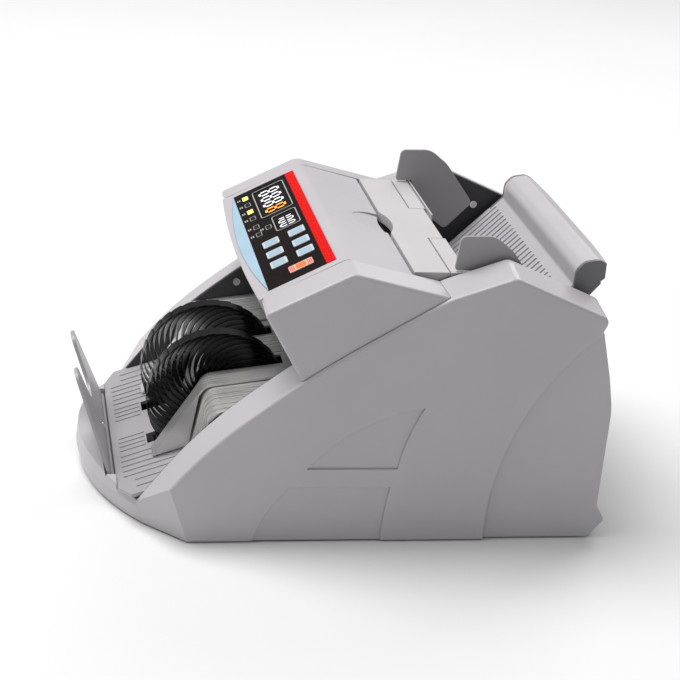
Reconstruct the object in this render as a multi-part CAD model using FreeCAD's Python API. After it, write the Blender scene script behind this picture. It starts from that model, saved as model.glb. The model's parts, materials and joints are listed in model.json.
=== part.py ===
import FreeCAD, Part
import math
import os

# Banknote counting machine. Millimetres. X is the operator's right, -Y the front
# (where counted notes are stacked), +Z up. The origin is on the table, under the
# middle of the machine. Outlines in the side view are lists of (y, z) corners; a
# third number is the radius that rounds the corner.

V = FreeCAD.Vector

# ---- overall sizes ----------------------------------------------------------------
WALL = 2.5                  # moulded covers
SHEET = 1.5                 # steel frame plates
BOTTOM = 1.2                # lower edge of the covers above the table
CHANNEL_HALF = 101.3        # inner face of a frame plate: notes run between the two
DRIVE_ROOM = 28.7           # from a frame plate to the outer face of its side cover
HALF_WIDTH = CHANNEL_HALF + DRIVE_ROOM
STRIP_INNER = CHANNEL_HALF + 1.7        # inner edge of the strip on top of a side cover
GAP = 0.3                   # between neighbouring covers
RUN = 0.05                  # radial running clearance of shafts and pins

# ---- side view of the side covers -------------------------------------------------
COVER_FRONT_Y = -138.0
FENDER = [(-138.0, 8.8), (-97.1, 63.1, 280.0), (-31.9, 115.4, 690.0)]
VALLEY = (53.4, 168.0, 30.0)
PEAK = (95.0, 183.0, 8.0)
REAR_TOP = (160.0, 156.0, 5.0)
REAR_SEAM_TOP = (155.8, 146.5)
REAR_SEAM_MID = (111.8, 91.1)
REAR_SEAM_LOW = (91.5, 0.0)
STRIP_RISE = 4.0            # how much higher the covers are at the inner edge
FACET_OUTER_LOW = -103.0    # y of the slanted front face at the outer side, on the table
FACET_OUTER_HIGH = (-116.0, 38.0)
RELIEF_DEPTH = 1.2

# ---- rear cover -------------------------------------------------------------------
REAR_HALF = HALF_WIDTH - 2.8
REAR_BACK = [(164.8, 115.0, 30.0), (169.0, 92.5, 60.0), (167.7, 24.0, 6.0),
             (174.0, 13.4, 3.0), (164.0, BOTTOM, 2.0)]

# ---- hood -------------------------------------------------------------------------
RIDGE = (-8.8, 185.4)
FRONT_SLOPE = 0.526
REAR_SLOPE = 0.2424
DECK_HALF = CHANNEL_HALF + 2.7
DECK_FRONT_MID = -68.0
DECK_FRONT_END = -63.5
DECK_REAR = 34.0
CHEEK_OUTER = HALF_WIDTH - 2.4
CHEEK_RISE = 1.9
SKIRT_LOW = (-40.7, 119.0)
RIDGE_RADIUS = 9.0
LEAF_HALF = 18.0            # half width and depth of the bite in the deck edge at the finger recess
LEAF_BITE = 2.4

# ---- control panel, measured down the front slope from the ridge ------------------
PANEL_HALF = 96.5
PANEL_TOP = 6.6
PANEL_LOW = 53.5
PANEL_BOW = 8.3
OVERLAY = 0.8
OVERLAY_PROUD = 0.4
COUNT_WINDOW = (-58.5, 28.3, 55.0, 21.5)      # centre x, centre u, width, height
BATCH_WINDOW = (-8.8, 25.2, 27.3, 15.4)
LAMPS = [(-83.0, 46.0), (-68.0, 46.0), (-53.0, 46.0), (-38.0, 46.0),
         (-19.0, 46.0), (-3.5, 46.0), (-9.0, 38.2)]
LAMP_SIZE = (8.0, 4.6)
KEY_COLUMNS = (21.4, 41.5, 61.0)
KEY_ROWS = (22.0, 40.7)
KEY_SIZE = (11.8, 12.0)
ENTER_KEY = (81.4, 28.3, 10.8, 17.0)
KEY_NAMES = ["key_mode", "key_add", "key_batch", "key_detect", "key_plus", "key_minus"]
KEY_GAP = 0.3
KEY_PROUD = 0.9
KEY_TRAVEL = 0.8
BOARD_DEPTH = 11.0
BOARD = 1.6

# ---- stacker ----------------------------------------------------------------------
FLOOR_FRONT = (-145.5, 18.6)
FLOOR_RISE = 0.348
FLOOR_TAB_END = -127.4      # beside the nose the floor reaches the covers, up to this y
FLOOR_CORNER = (-84.0, -137.0)    # the front corners are cut back from this x and to this y
RAMP_FOOT_Y = -97.0
RAMP_TOP_Y = -81.0
RAMP_REAR_Y = -20.0
BED_SLOPE = 0.15
BED_AT_ZERO = 91.25
IMPELLER_AT = (-76.0, 58.0)
IMPELLER_R = 48.0
IMPELLER_X = 27.0
IMPELLER_WIDTH = 11.0
FIN_COUNT = 34
FIN_THICK = 1.1
FIN_SWEEP = 96.0
HUB_R = 13.0
SLOT_HALF = 7.5
SLOT_FRONT_Y = -122.5
SLOT_REAR_Y = -33.0
RIB_PITCH = 6.4
RIB_HIGH = 0.6
RIB_WIDE = 2.2
STRIP_X = (45.0, 60.0)

# ---- stop plate -------------------------------------------------------------------
HINGE_AT = (-148.3, 15.6)
PLATE_LEAN = 20.5           # degrees outward from upright
PLATE_LENGTH = 68.0
PLATE_FOOT_HALF = 71.0
PLATE_TIP = 34.0
PLATE_THICK = 2.2
HINGE_R = 2.4
PIN_R = 1.1
HINGE_GAP = 0.4

# ---- nose -------------------------------------------------------------------------
NOSE_HALF = CHANNEL_HALF + 1.4
NOSE_MID_Y = -165.5
NOSE_END_Y = -129.6
NOSE_BACK_Y = -126.5
NOSE_SWELL = 2.8
NOSE_SEAM_Z = 13.0
NOSE_TOP = 25.0
NOSE_TOP_END = 17.0

# ---- hopper and handle ------------------------------------------------------------
INCLINE_OFFSET = 23.4       # the incline is at 45 degrees: z = y + this
HANDLE_HALF = CHANNEL_HALF - 5.3
HANDLE_CAP = 3.0
INCLINE_HALF = CHANNEL_HALF - 5.5
HANDLE_BACK_END = 163.4
HANDLE_BACK_MID = 168.8
HOPPER_RIBS = 26
GUIDE_INNER = CHANNEL_HALF - 4.3
GUIDE_THICK = 2.2
RAIL_AT = (68.5, 163.5)
RAIL_R = 2.5

# ---- top flap ---------------------------------------------------------------------
FLAP_FRONT = 35.6
FLAP_REAR = 58.6
FLAP_TOP = 176.2
FLAP_HALF = CHANNEL_HALF - 0.4
TONGUE_HALF = 32.0
TONGUE_REAR = 69.2
FLAP_PIN_AT = (66.5, 172.2)
FLAP_PIN_R = 1.3
FLAP_APRON = 4.0
NOTCH_R = 55.0              # finger notch in the front edge of the flap
NOTCH_DEPTH = 4.6
BAR_FRONT = 59.6
BAR_REAR = 70.6
STRIP_BAR_Y = (72.0, 73.0)  # sensor strip behind the bar, on the left half only
STRIP_BAR_END = -18.0

# ---- drive ------------------------------------------------------------------------
FEED_AT = (30.0, 71.6)
FEED_R = 24.0
FEED_X = (-52.0, -22.0, 22.0, 52.0)
FEED_ROLLER_WIDTH = 14.0
PICKUP_AT = (99.5, 106.2)
PICKUP_R = 14.0
PICKUP_X = (-36.0, 36.0)
RETARD_R = 13.0
RETARD_GAP = 0.4
SHAFT_R = 4.0
SHAFT_LEFT = -CHANNEL_HALF - 10.7
SHAFT_RIGHT = CHANNEL_HALF + 24.2
MOTOR_AT = (118.0, 40.0)
MOTOR_R = 19.0
PULLEY_R = {"motor": 8.0, "feed": 14.0, "impeller": 11.0, "pickup": 10.0}
BELT_WIDTH = 4.0
BELT_THICK = 1.2
BELT_X = {"motor": CHANNEL_HALF + 5.2, "impeller": CHANNEL_HALF + 11.2, "pickup": CHANNEL_HALF + 17.2}
BUSH_R = 7.0
BUSH_FLANGE = 9.0

FOOT_R = 9.0
FOOT_X = 98.0
FOOT_Y = (-88.0, 142.0)

os.makedirs("parts", exist_ok=True)


# ---- helpers ----------------------------------------------------------------------
def save(shape, name):
    """Write one node."""
    shape.exportStep("parts/" + name + ".step")


def corner_arc(before, corner, after, radius):
    """Start, middle and end of the arc that rounds a corner."""
    into = (before - corner).normalize()
    out = (after - corner).normalize()
    half = into.getAngle(out) / 2.0
    reach = radius / math.tan(half)
    centre = corner + (into + out).normalize() * (radius / math.sin(half))
    start = corner + into * reach
    end = corner + out * reach
    middle = centre + (corner - centre).normalize() * radius
    return start, middle, end


def loop(points, place):
    """Closed face from corners (a, b) or (a, b, radius), placed by place(a, b)."""
    count = len(points)
    corners = [place(p[0], p[1]) for p in points]
    stops = []
    for i, p in enumerate(points):
        radius = p[2] if len(p) > 2 else 0.0
        if radius > 0.0:
            stops.append(corner_arc(corners[i - 1], corners[i], corners[(i + 1) % count], radius))
        else:
            stops.append((corners[i],))
    edges = []
    for i, stop in enumerate(stops):
        if len(stop) == 3:
            edges.append(Part.Arc(*stop).toShape())
        following = stops[(i + 1) % count][0]
        if (stop[-1] - following).Length > 1e-4:
            edges.append(Part.LineSegment(stop[-1], following).toShape())
    return Part.Face(Part.Wire(edges))


def side_face(points, x):
    """Face in the side view at x from (y, z) corners."""
    return loop(points, lambda y, z: V(x, y, z))


def side_block(points, x_low, x_high):
    """Side-view outline carried along X."""
    return side_face(points, x_low).extrude(V(x_high - x_low, 0, 0))


def plan_block(points, z_low, z_high):
    """Plan-view outline carried along Z."""
    return loop(points, lambda x, y: V(x, y, z_low)).extrude(V(0, 0, z_high - z_low))


def box(low, high):
    """Box between two opposite corners."""
    return Part.makeBox(high[0] - low[0], high[1] - low[1], high[2] - low[2], V(*low))


def rod(at, radius, x_low, x_high):
    """Round bar along X through at = (y, z)."""
    return Part.makeCylinder(radius, x_high - x_low, V(x_low, at[0], at[1]), V(1, 0, 0))


def tube(at, outer, inner, x_low, x_high):
    """Round bar with a bore, along X."""
    return rod(at, outer, x_low, x_high).cut(rod(at, inner, x_low - 1.0, x_high + 1.0))


def inset_corners(points, distance):
    """Corners (a, b, radius) of a clockwise outline drawn in by a distance."""
    count = len(points)
    result = []
    for i, p in enumerate(points):
        before, after = points[i - 1], points[(i + 1) % count]
        into = V(p[0] - before[0], p[1] - before[1], 0).normalize()
        out = V(after[0] - p[0], after[1] - p[1], 0).normalize()
        turn = into.x * out.y - into.y * out.x
        side_in, side_out = V(into.y, -into.x, 0), V(out.y, -out.x, 0)
        shift = (side_in + side_out) * (distance / (1.0 + side_in.dot(side_out)))
        radius = p[2] if len(p) > 2 else 0.0
        if radius > 0.0:
            radius = max(radius - distance, 0.3) if turn < 0 else radius + distance
        result.append((p[0] + shift.x, p[1] + shift.y, radius))
    return result


def mirrored(shape):
    """The other hand of a piece."""
    return shape.mirror(V(0, 0, 0), V(1, 0, 0))


def save_pair(right, name):
    """Write a right-hand piece and its mirror image."""
    save(right, name + "_right")
    save(mirrored(right), name + "_left")


def joined(shapes):
    """One solid from touching shapes."""
    result = shapes[0].multiFuse(shapes[1:]) if len(shapes) > 1 else shapes[0]
    return result.removeSplitter()


def group(shapes):
    """Separate solids that share a node."""
    return Part.makeCompound(shapes)


def arc_plan(half, end_y, mid_y, back_y, z_low, z_high):
    """Block whose front (or back) is one arc across the width, in plan."""
    low = V(-half, end_y, z_low)
    high = V(half, end_y, z_low)
    bow = Part.Arc(low, V(0, mid_y, z_low), high).toShape()
    sides = [Part.LineSegment(high, V(half, back_y, z_low)).toShape(),
             Part.LineSegment(V(half, back_y, z_low), V(-half, back_y, z_low)).toShape(),
             Part.LineSegment(V(-half, back_y, z_low), low).toShape()]
    return Part.Face(Part.Wire([bow] + sides)).extrude(V(0, 0, z_high - z_low))


def bed_z(y):
    """Height of the note bed under the hood."""
    return BED_AT_ZERO + BED_SLOPE * y


def floor_z(y):
    """Height of the stacker floor."""
    return FLOOR_FRONT[1] + (y - FLOOR_FRONT[0]) * FLOOR_RISE


# ---- panel coordinates ------------------------------------------------------------
SLOPE = math.atan(FRONT_SLOPE)
DOWN = V(0, -math.cos(SLOPE), -math.sin(SLOPE))
OUT = V(0, -math.sin(SLOPE), math.cos(SLOPE))


def on_panel(x, u, height=0.0):
    """Point on the front slope: u down from the ridge, height out of it."""
    return V(x, RIDGE[0], RIDGE[1]) + DOWN * u + OUT * height


def panel_block(points, low, high):
    """Outline (x, u) on the slope between two heights."""
    face = loop(points, lambda x, u: on_panel(x, u, low))
    return face.extrude(OUT * (high - low))


def panel_rectangle(x, u, width, height, low, high, radius=0.0):
    """Rectangle on the slope, with rounded corners when a radius is given."""
    x0, x1 = x - width / 2.0, x + width / 2.0
    u0, u1 = u - height / 2.0, u + height / 2.0
    corners = [(x0, u0), (x1, u0), (x1, u1), (x0, u1)]
    return panel_block([c + (radius,) for c in corners], low, high)


# ---- side covers ------------------------------------------------------------------
def cover_outline(low, lift=0.0):
    """Side view of a side cover before its rear edge is cut, its top moved up by lift."""
    rear = [REAR_TOP, REAR_SEAM_TOP, (REAR_SEAM_TOP[0], low)]
    corners = [(COVER_FRONT_Y, low)] + FENDER + [VALLEY, PEAK] + rear
    return [(p[0], p[1] + (lift if p[1] > low else 0.0)) + p[2:] for p in corners]


def cover_block(low, x_outer, x_inner, inset=0.0, lift=0.0):
    """Cover outline carried from x_outer to x_inner while it rises towards the middle."""
    rise = STRIP_RISE / (HALF_WIDTH - STRIP_INNER)
    outline = cover_outline(low, lift + (HALF_WIDTH - x_outer) * rise)
    face = side_face(inset_corners(outline, inset), x_outer)
    return face.extrude(V(x_inner - x_outer, 0, (x_outer - x_inner) * rise))


def seam_region():
    """Everything behind the seam between side cover and rear cover."""
    top = V(0, REAR_SEAM_TOP[0], REAR_SEAM_TOP[1])
    low = V(0, REAR_SEAM_LOW[0], REAR_SEAM_LOW[1])
    middle = V(0, REAR_SEAM_MID[0], REAR_SEAM_MID[1])
    beyond = 260.0
    edges = [Part.Arc(top, middle, low).toShape(),
             Part.LineSegment(low, V(0, low.y, -beyond)).toShape(),
             Part.LineSegment(V(0, low.y, -beyond), V(0, beyond, -beyond)).toShape(),
             Part.LineSegment(V(0, beyond, -beyond), V(0, beyond, top.z)).toShape(),
             Part.LineSegment(V(0, beyond, top.z), top).toShape()]
    return Part.Face(Part.Wire(edges))


def behind_seam(x_low, x_high, shift=0.0):
    """The seam region as a block, moved back by shift."""
    face = seam_region()
    face.translate(V(x_low, shift, 0))
    return face.extrude(V(x_high - x_low, 0, 0))


def relief_cuts():
    """Two shallow decorative fields in the outer face: a fin over a wedge."""
    x = HALF_WIDTH - RELIEF_DEPTH
    fin_low, fin_tip, fin_rear = V(x, -29.2, 52.0), V(x, 44.5, 95.0), V(x, 29.9, 52.0)
    fin = [Part.Arc(fin_low, V(x, 1.2, 78.4), fin_tip).toShape(),
           Part.Arc(fin_tip, V(x, 35.0, 73.0), fin_rear).toShape(),
           Part.LineSegment(fin_rear, fin_low).toShape()]
    top_front, top_rear = V(x, -38.9, 39.2), V(x, 26.2, 39.2)
    low_rear, low_front = V(x, 22.4, -1.0), V(x, -62.0, -1.0)
    wedge = [Part.LineSegment(top_front, top_rear).toShape(),
             Part.Arc(top_rear, V(x, 23.4, 19.0), low_rear).toShape(),
             Part.LineSegment(low_rear, low_front).toShape(),
             Part.Arc(low_front, V(x, -52.3, 22.7), top_front).toShape()]
    depth = V(RELIEF_DEPTH + 1.0, 0, 0)
    return [Part.Face(Part.Wire(edges)).extrude(depth) for edges in (fin, wedge)]


def facet_cut():
    """Half space in front of the slanted front face of a right-hand cover."""
    outer_low = V(HALF_WIDTH, FACET_OUTER_LOW, 0)
    outer_high = V(HALF_WIDTH, FACET_OUTER_HIGH[0], FACET_OUTER_HIGH[1])
    inner_low = V(NOSE_HALF, NOSE_END_Y, 0)
    normal = (inner_low - outer_low).cross(outer_high - outer_low).normalize()
    if normal.y > 0:
        normal = normal * -1.0
    size = 200.0
    block = Part.makeBox(size, size, size, V(-size / 2.0, -size / 2.0, 0))
    block.Placement = FreeCAD.Placement(outer_low, FreeCAD.Rotation(V(0, 0, 1), normal))
    return block


def side_cover():
    """Right-hand side cover: outer wall, slanted front and the strip on top."""
    body = cover_block(-8.0, HALF_WIDTH, STRIP_INNER)
    body = body.cut(behind_seam(STRIP_INNER - 1.0, HALF_WIDTH + 1.0))
    soft = [e for e in body.Edges if edge_on_outer_top(e)]
    body = body.makeFillet(2.0, soft)
    cut = facet_cut()
    body = body.cut(cut)
    hollow = cover_block(-30.0, HALF_WIDTH - WALL, STRIP_INNER - 2.0, WALL)
    cut_back = cut.copy()
    cut_back.translate(V(-WALL, WALL, 0))
    hollow = hollow.cut(cut_back)
    body = body.cut(hollow)
    for relief in relief_cuts():
        body = body.cut(relief)
    return body.cut(box((0, -300, -50), (300, 300, BOTTOM)))


def edge_on_outer_top(edge):
    """True for the outer edge along the fender, hood and hopper, which is softened."""
    outer = all(abs(v.X - HALF_WIDTH) < 1e-3 for v in edge.Vertexes)
    middle = edge.valueAt((edge.FirstParameter + edge.LastParameter) / 2.0)
    above_seam = middle.z > 14.0 and (middle.y < REAR_SEAM_LOW[0] or middle.z > 155.0)
    return outer and above_seam and middle.z > fender_low(middle.y)


def fender_low(y):
    """A height just under the top outline, to tell it from the front edge."""
    return 8.0 if y < FENDER[1][0] else 60.0


save_pair(side_cover(), "side_cover")


# ---- steel frame plates -----------------------------------------------------------
SHAFTS = [(IMPELLER_AT, SHAFT_R), (FEED_AT, SHAFT_R), (PICKUP_AT, SHAFT_R)]
TIE_RODS = [(-112.0, 14.0), (-8.0, 64.0), (84.0, 24.0), (132.0, 128.0), (18.0, 138.0)]
TIE_R = 3.5
PAN_TOP = 5.0
PLATE_DROP = 0.7            # frame plates end this much below the top of the covers
PLATE_FRONT_Y = -133.5
PLATE_REAR_Y = 147.5
MOTOR_HOLE_R = 7.0
WALL_SCREWS = [(-49.8, 95.0), (123.1, 158.9), (143.0, 76.0)]
SCREW_R = 1.4
SCREW_HEAD_R = 2.7
SCREW_HEAD = 1.4
CROSS = (1.7, 0.35, 0.7)    # half length, half width and depth of the cross recess


def frame_plate():
    """Right-hand plate that carries the shafts, rods and covers."""
    outline = side_face(cover_outline(-8.0, STRIP_RISE - PLATE_DROP), CHANNEL_HALF)
    plate = outline.extrude(V(SHEET, 0, 0))
    plate = plate.cut(box((0, -300, -50), (300, 300, PAN_TOP)))
    plate = plate.cut(box((0, -300, -50), (300, PLATE_FRONT_Y, 60)))
    plate = plate.cut(box((0, -300, -50), (300, NOSE_BACK_Y, NOSE_TOP)))
    plate = plate.cut(box((0, PLATE_REAR_Y, -50), (300, 300, 300)))
    plate = plate.cut(rod(MOTOR_AT, MOTOR_HOLE_R, 0, 300))
    for at, _ in SHAFTS:
        plate = plate.cut(rod(at, BUSH_R, 0, 300))
    plate = plate.cut(rod(RAIL_AT, RAIL_R + RUN, 0, 300))
    for at in WALL_SCREWS:
        plate = plate.cut(rod(at, SCREW_R + RUN, 0, 300))
    return plate


save_pair(frame_plate(), "frame_plate")

rods = [rod(at, TIE_R, -CHANNEL_HALF, CHANNEL_HALF) for at in TIE_RODS]
save(group(rods), "tie_rods")


def wall_screw(at, side):
    """Pan-head screw through a frame plate, head on the channel side."""
    face = CHANNEL_HALF - SCREW_HEAD
    head = rod(at, SCREW_HEAD_R, face, CHANNEL_HALF)
    reach, half, depth = CROSS
    cross = box((face - 1.0, at[0] - reach, at[1] - half), (face + depth, at[0] + reach, at[1] + half))
    upright = box((face - 1.0, at[0] - half, at[1] - reach), (face + depth, at[0] + half, at[1] + reach))
    shank = rod(at, SCREW_R, CHANNEL_HALF, CHANNEL_HALF + 6.0)
    screw = joined([head.cut(cross).cut(upright), shank])
    return screw if side > 0 else mirrored(screw)


save(group([wall_screw(at, side) for at in WALL_SCREWS for side in (1, -1)]), "wall_screws")


# ---- base pan and feet ------------------------------------------------------------
def base_pan():
    """Flat pan under the works, with a low rim and slanted front corners."""
    side, front, rear = HALF_WIDTH - 8.0, -124.0, 160.0
    plan = [(-side, rear), (side, rear), (side, -96.0), (90.0, front), (-90.0, front), (-side, -96.0)]
    pan = plan_block(plan, 3.0, PAN_TOP)
    rim = plan_block(plan, 3.0, 11.0)
    inside = loop(plan, lambda x, y: V(x, y, 2.0)).makeOffset2D(-2.0, join=2).extrude(V(0, 0, 12))
    plate_x = CHANNEL_HALF + SHEET / 2
    gates = [box((s * plate_x - 3.0, -200, PAN_TOP), (s * plate_x + 3.0, 200, 20)) for s in (1, -1)]
    rim = rim.cut(inside)
    for gate in gates:
        rim = rim.cut(gate)
    return joined([pan, rim])


save(base_pan(), "base_pan")

feet = []
for x in (-FOOT_X, FOOT_X):
    for y in FOOT_Y:
        foot = Part.makeCone(FOOT_R - 1.0, FOOT_R, 3.0, V(x, y, 0), V(0, 0, 1))
        feet.append(foot)
save(group(feet), "rubber_feet")


# ---- rear cover -------------------------------------------------------------------
INLET = (-62.0, 44.0, 30.0, 22.0)            # centre x, centre z, width, height
ROCKER = (-22.0, 44.0, 13.0, 19.0)
ROCKER_PIVOT = (163.5, 44.0)


def rear_outline(low):
    """Side view of the rear cover."""
    back = [p if p[1] > BOTTOM else (p[0], low) for p in REAR_BACK]
    return [(70.0, low), (70.0, REAR_SEAM_TOP[1])] + [(REAR_SEAM_TOP[0] + 1.0, 147.0, 2.0)] + back


def rear_cover():
    """U-shaped rear shell between the side covers, with vents and a lip behind the handle."""
    body = side_block(rear_outline(BOTTOM), -REAR_HALF, REAR_HALF)
    inner = side_face(rear_outline(-20.0), -REAR_HALF + WALL).makeOffset2D(-WALL, join=2)
    hollow = inner.extrude(V(2.0 * (REAR_HALF - WALL), 0, 0))
    body = body.cut(hollow)
    keep = behind_seam(-REAR_HALF - 1.0, REAR_HALF + 1.0, GAP)
    body = body.common(keep)
    middle = box((-REAR_HALF + WALL + 1.2, 0, 0), (REAR_HALF - WALL - 1.2, 148.0, 300))
    body = body.cut(middle)
    for x, z, width, height in (INLET, ROCKER):
        body = body.cut(box((x - width / 2, 150, z - height / 2), (x + width / 2, 190, z + height / 2)))
    for i in range(7):
        z = 66.0 + 6.0 * i
        body = body.cut(box((25.0, 150.0, z), (85.0, 190.0, z + 2.6)))
    lip = side_block([(153.6, 140.0), (153.6, 146.0), (149.4, 157.2), (151.8, 158.2), (157.0, 146.6),
                      (157.6, 140.0)],
                     -STRIP_INNER + GAP, STRIP_INNER - GAP)
    return joined([body, lip])


save(rear_cover(), "rear_cover")


# ---- hood -------------------------------------------------------------------------
def skirt_block(inset):
    """Everything behind the leaning front skirt, so that the front leans back going down."""
    lean = (SKIRT_LOW[0] - (-62.3)) / (157.5 - SKIRT_LOW[1])
    low, high = SKIRT_LOW[1] - 20.0, 157.5
    shift_low = lean * (high - low)
    base = []
    for z, shift in ((low, shift_low), (high, 0.0)):
        y_end, y_mid = DECK_FRONT_END + inset + shift, DECK_FRONT_MID + inset + shift
        left, right = V(-DECK_HALF, y_end, z), V(DECK_HALF, y_end, z)
        back_left, back_right = V(-DECK_HALF, 80, z), V(DECK_HALF, 80, z)
        edges = [Part.Arc(left, V(0, y_mid, z), right).toShape(),
                 Part.LineSegment(right, back_right).toShape(),
                 Part.LineSegment(back_right, back_left).toShape(),
                 Part.LineSegment(back_left, left).toShape()]
        base.append(Part.Wire(edges))
    lower = Part.makeLoft(base, True, True)
    upper = arc_plan(DECK_HALF, DECK_FRONT_END + inset, DECK_FRONT_MID + inset, 80.0, high, 200.0)
    return lower.fuse(upper)


def hood_deck():
    """Middle of the hood: panel slope, ridge, rear slope and the leaning front skirt."""
    half = DECK_HALF - GAP / 2
    top_outline = [(-90.0, 110.0), (-90.0, RIDGE[1] - (RIDGE[0] + 90.0) * FRONT_SLOPE),
                   (RIDGE[0], RIDGE[1], RIDGE_RADIUS),
                   (DECK_REAR, RIDGE[1] - (DECK_REAR - RIDGE[0]) * REAR_SLOPE), (DECK_REAR, 110.0)]
    body = side_block(top_outline, -half, half).common(skirt_block(0.0))
    body = body.cut(box((-200, -200, 0), (200, 200, SKIRT_LOW[1])))
    inner_top = side_face(top_outline, -300.0).makeOffset2D(-WALL, join=2).extrude(V(600, 0, 0))
    inner_top = inner_top.fuse(box((-300, DECK_REAR - WALL - 1.0, 0), (300, 90, 160)))
    hollow = inner_top.common(skirt_block(WALL * 1.1)).cut(box((-200, -200, 200), (200, 200, 260)))
    hollow = hollow.fuse(box((-half - 1, -20, 90), (half + 1, DECK_REAR + 1, 150)))
    low_cut = skirt_block(WALL * 1.1).common(box((-half - 1, -100, 0), (half + 1, DECK_REAR + 1, 125)))
    body = body.cut(hollow).cut(low_cut)
    pocket = panel_outline_block(-OVERLAY + OVERLAY_PROUD, 5.0, GAP)
    body = body.cut(pocket)
    for cut in panel_windows(-8.0, 5.0, KEY_GAP):
        body = body.cut(cut)
    return body.cut(finger_leaf())


def finger_leaf():
    """Leaf-shaped finger recess in the rear slope, deepest at the flap."""
    z_rear = RIDGE[1] - (DECK_REAR - RIDGE[0]) * REAR_SLOPE
    tip_y = DECK_REAR - 21.5
    z_tip = RIDGE[1] - (tip_y - RIDGE[0]) * REAR_SLOPE
    wedge = side_block([(tip_y, z_tip), (DECK_REAR + 1, z_rear - 1.9), (DECK_REAR + 1, 200.0),
                        (tip_y, 200.0)],
                       -21.0, 21.0)
    ellipse = Part.Ellipse(V(0, DECK_REAR, 150.0), 21.5, 20.0)
    plan = Part.Face(Part.Wire([ellipse.toShape()])).extrude(V(0, 0, 60))
    plan.rotate(V(0, DECK_REAR, 150.0), V(0, 0, 1), 90)
    deep = (LEAF_HALF ** 2 + LEAF_BITE ** 2) / (2.0 * LEAF_BITE)
    bite = Part.makeCylinder(deep, 60.0, V(0, DECK_REAR + deep - LEAF_BITE, 150.0), V(0, 0, 1))
    return wedge.common(plan).fuse(bite)


def panel_outline_block(low, high, grow):
    """The overlay's outline: straight top and sides, bowed lower edge."""
    half = PANEL_HALF + grow
    top, foot, bow = PANEL_TOP - grow, PANEL_LOW + grow, PANEL_LOW + PANEL_BOW + grow
    p = [on_panel(-half, top, low), on_panel(half, top, low), on_panel(half, foot, low),
         on_panel(0, bow, low), on_panel(-half, foot, low)]
    edges = [Part.LineSegment(p[0], p[1]).toShape(), Part.LineSegment(p[1], p[2]).toShape(),
             Part.Arc(p[2], p[3], p[4]).toShape(), Part.LineSegment(p[4], p[0]).toShape()]
    return Part.Face(Part.Wire(edges)).extrude(OUT * (high - low))


def key_places():
    """Name, centre and size of each key."""
    places = []
    names = iter(KEY_NAMES)
    for u in KEY_ROWS:
        for x in KEY_COLUMNS:
            places.append((next(names), x, u, KEY_SIZE[0], KEY_SIZE[1]))
    places.append(("key_start",) + ENTER_KEY)
    return places


def panel_windows(low, high, grow):
    """Openings for the displays, lamps and keys."""
    cuts = []
    for x, u, width, height in (COUNT_WINDOW, BATCH_WINDOW):
        cuts.append(panel_rectangle(x, u, width + 2 * grow, height + 2 * grow, low, high, 1.0))
    for x, u in LAMPS:
        cuts.append(panel_rectangle(x, u, LAMP_SIZE[0] + 2 * grow, LAMP_SIZE[1] + 2 * grow, low, high, 0.8))
    for _, x, u, width, height in key_places():
        cuts.append(panel_rectangle(x, u, width + 2 * grow, height + 2 * grow, low, high, 1.5))
    return cuts


def hood_cheek():
    """Right-hand side piece of the hood, standing on the side cover."""
    front = (-62.3, 157.5 - CHEEK_RISE)
    peak = (RIDGE[0] + 0.6, RIDGE[1] - CHEEK_RISE)
    outline = [(-20.0, 80.0), front + (3.0,), peak + (10.0,), (VALLEY[0] + 4.0, VALLEY[1] + 0.2),
               (VALLEY[0], 80.0)]
    lean = (SKIRT_LOW[0] - front[0]) / (front[1] - SKIRT_LOW[1])
    outline[0] = (front[0] + lean * (front[1] - 80.0), 80.0)
    slant = V(DECK_HALF + GAP / 2 - CHEEK_OUTER, 0, CHEEK_RISE)
    body = side_face(outline, CHEEK_OUTER).extrude(slant)
    soft = [e for e in body.Edges if all(abs(v.X - CHEEK_OUTER) < 1e-3 for v in e.Vertexes)
            and e.BoundBox.ZMax > 150.0]
    body = body.makeFillet(2.0, soft)
    inner = side_face(outline, CHEEK_OUTER - WALL).makeOffset2D(-WALL, join=2)
    body = body.cut(inner.extrude(slant * 1.3))
    return body.cut(cover_block(-30.0, HALF_WIDTH + 1.0, STRIP_INNER, 0.0, GAP))


save(hood_deck(), "hood_deck")
save_pair(hood_cheek(), "hood_cheek")


# ---- control panel ----------------------------------------------------------------
overlay = panel_outline_block(-OVERLAY + OVERLAY_PROUD, OVERLAY_PROUD, 0.0)
for window in panel_windows(-5.0, 5.0, KEY_GAP / 2):
    overlay = overlay.cut(window)
save(overlay, "panel_overlay")

for name, key_x, key_u, key_w, key_h in key_places():
    cap = panel_rectangle(key_x, key_u, key_w - KEY_GAP, key_h - KEY_GAP, -4.5, KEY_PROUD, 1.2)
    stem = panel_rectangle(key_x, key_u, 3.5, 3.5, -BOARD_DEPTH + 2.0 + KEY_TRAVEL + GAP, -4.0)
    save(joined([cap, stem]), name)

board = panel_rectangle(0, 33.0, 186.0, 48.0, -BOARD_DEPTH - BOARD, -BOARD_DEPTH)
switches = [panel_rectangle(x, u, 6.0, 6.0, -BOARD_DEPTH, -BOARD_DEPTH + 2.0) for _, x, u, _,
            _ in key_places()]
save(joined([board] + switches), "display_board")

displays = []
for x, u, width, height in (COUNT_WINDOW, BATCH_WINDOW):
    displays.append(panel_rectangle(x, u, width - GAP, height - GAP, -BOARD_DEPTH, 0.1))
save(group(displays), "segment_displays")

lamps = [panel_rectangle(x, u, LAMP_SIZE[0] - GAP, LAMP_SIZE[1] - GAP, -BOARD_DEPTH, 0.3) for x, u in LAMPS]
save(group(lamps), "status_lamps")


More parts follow.
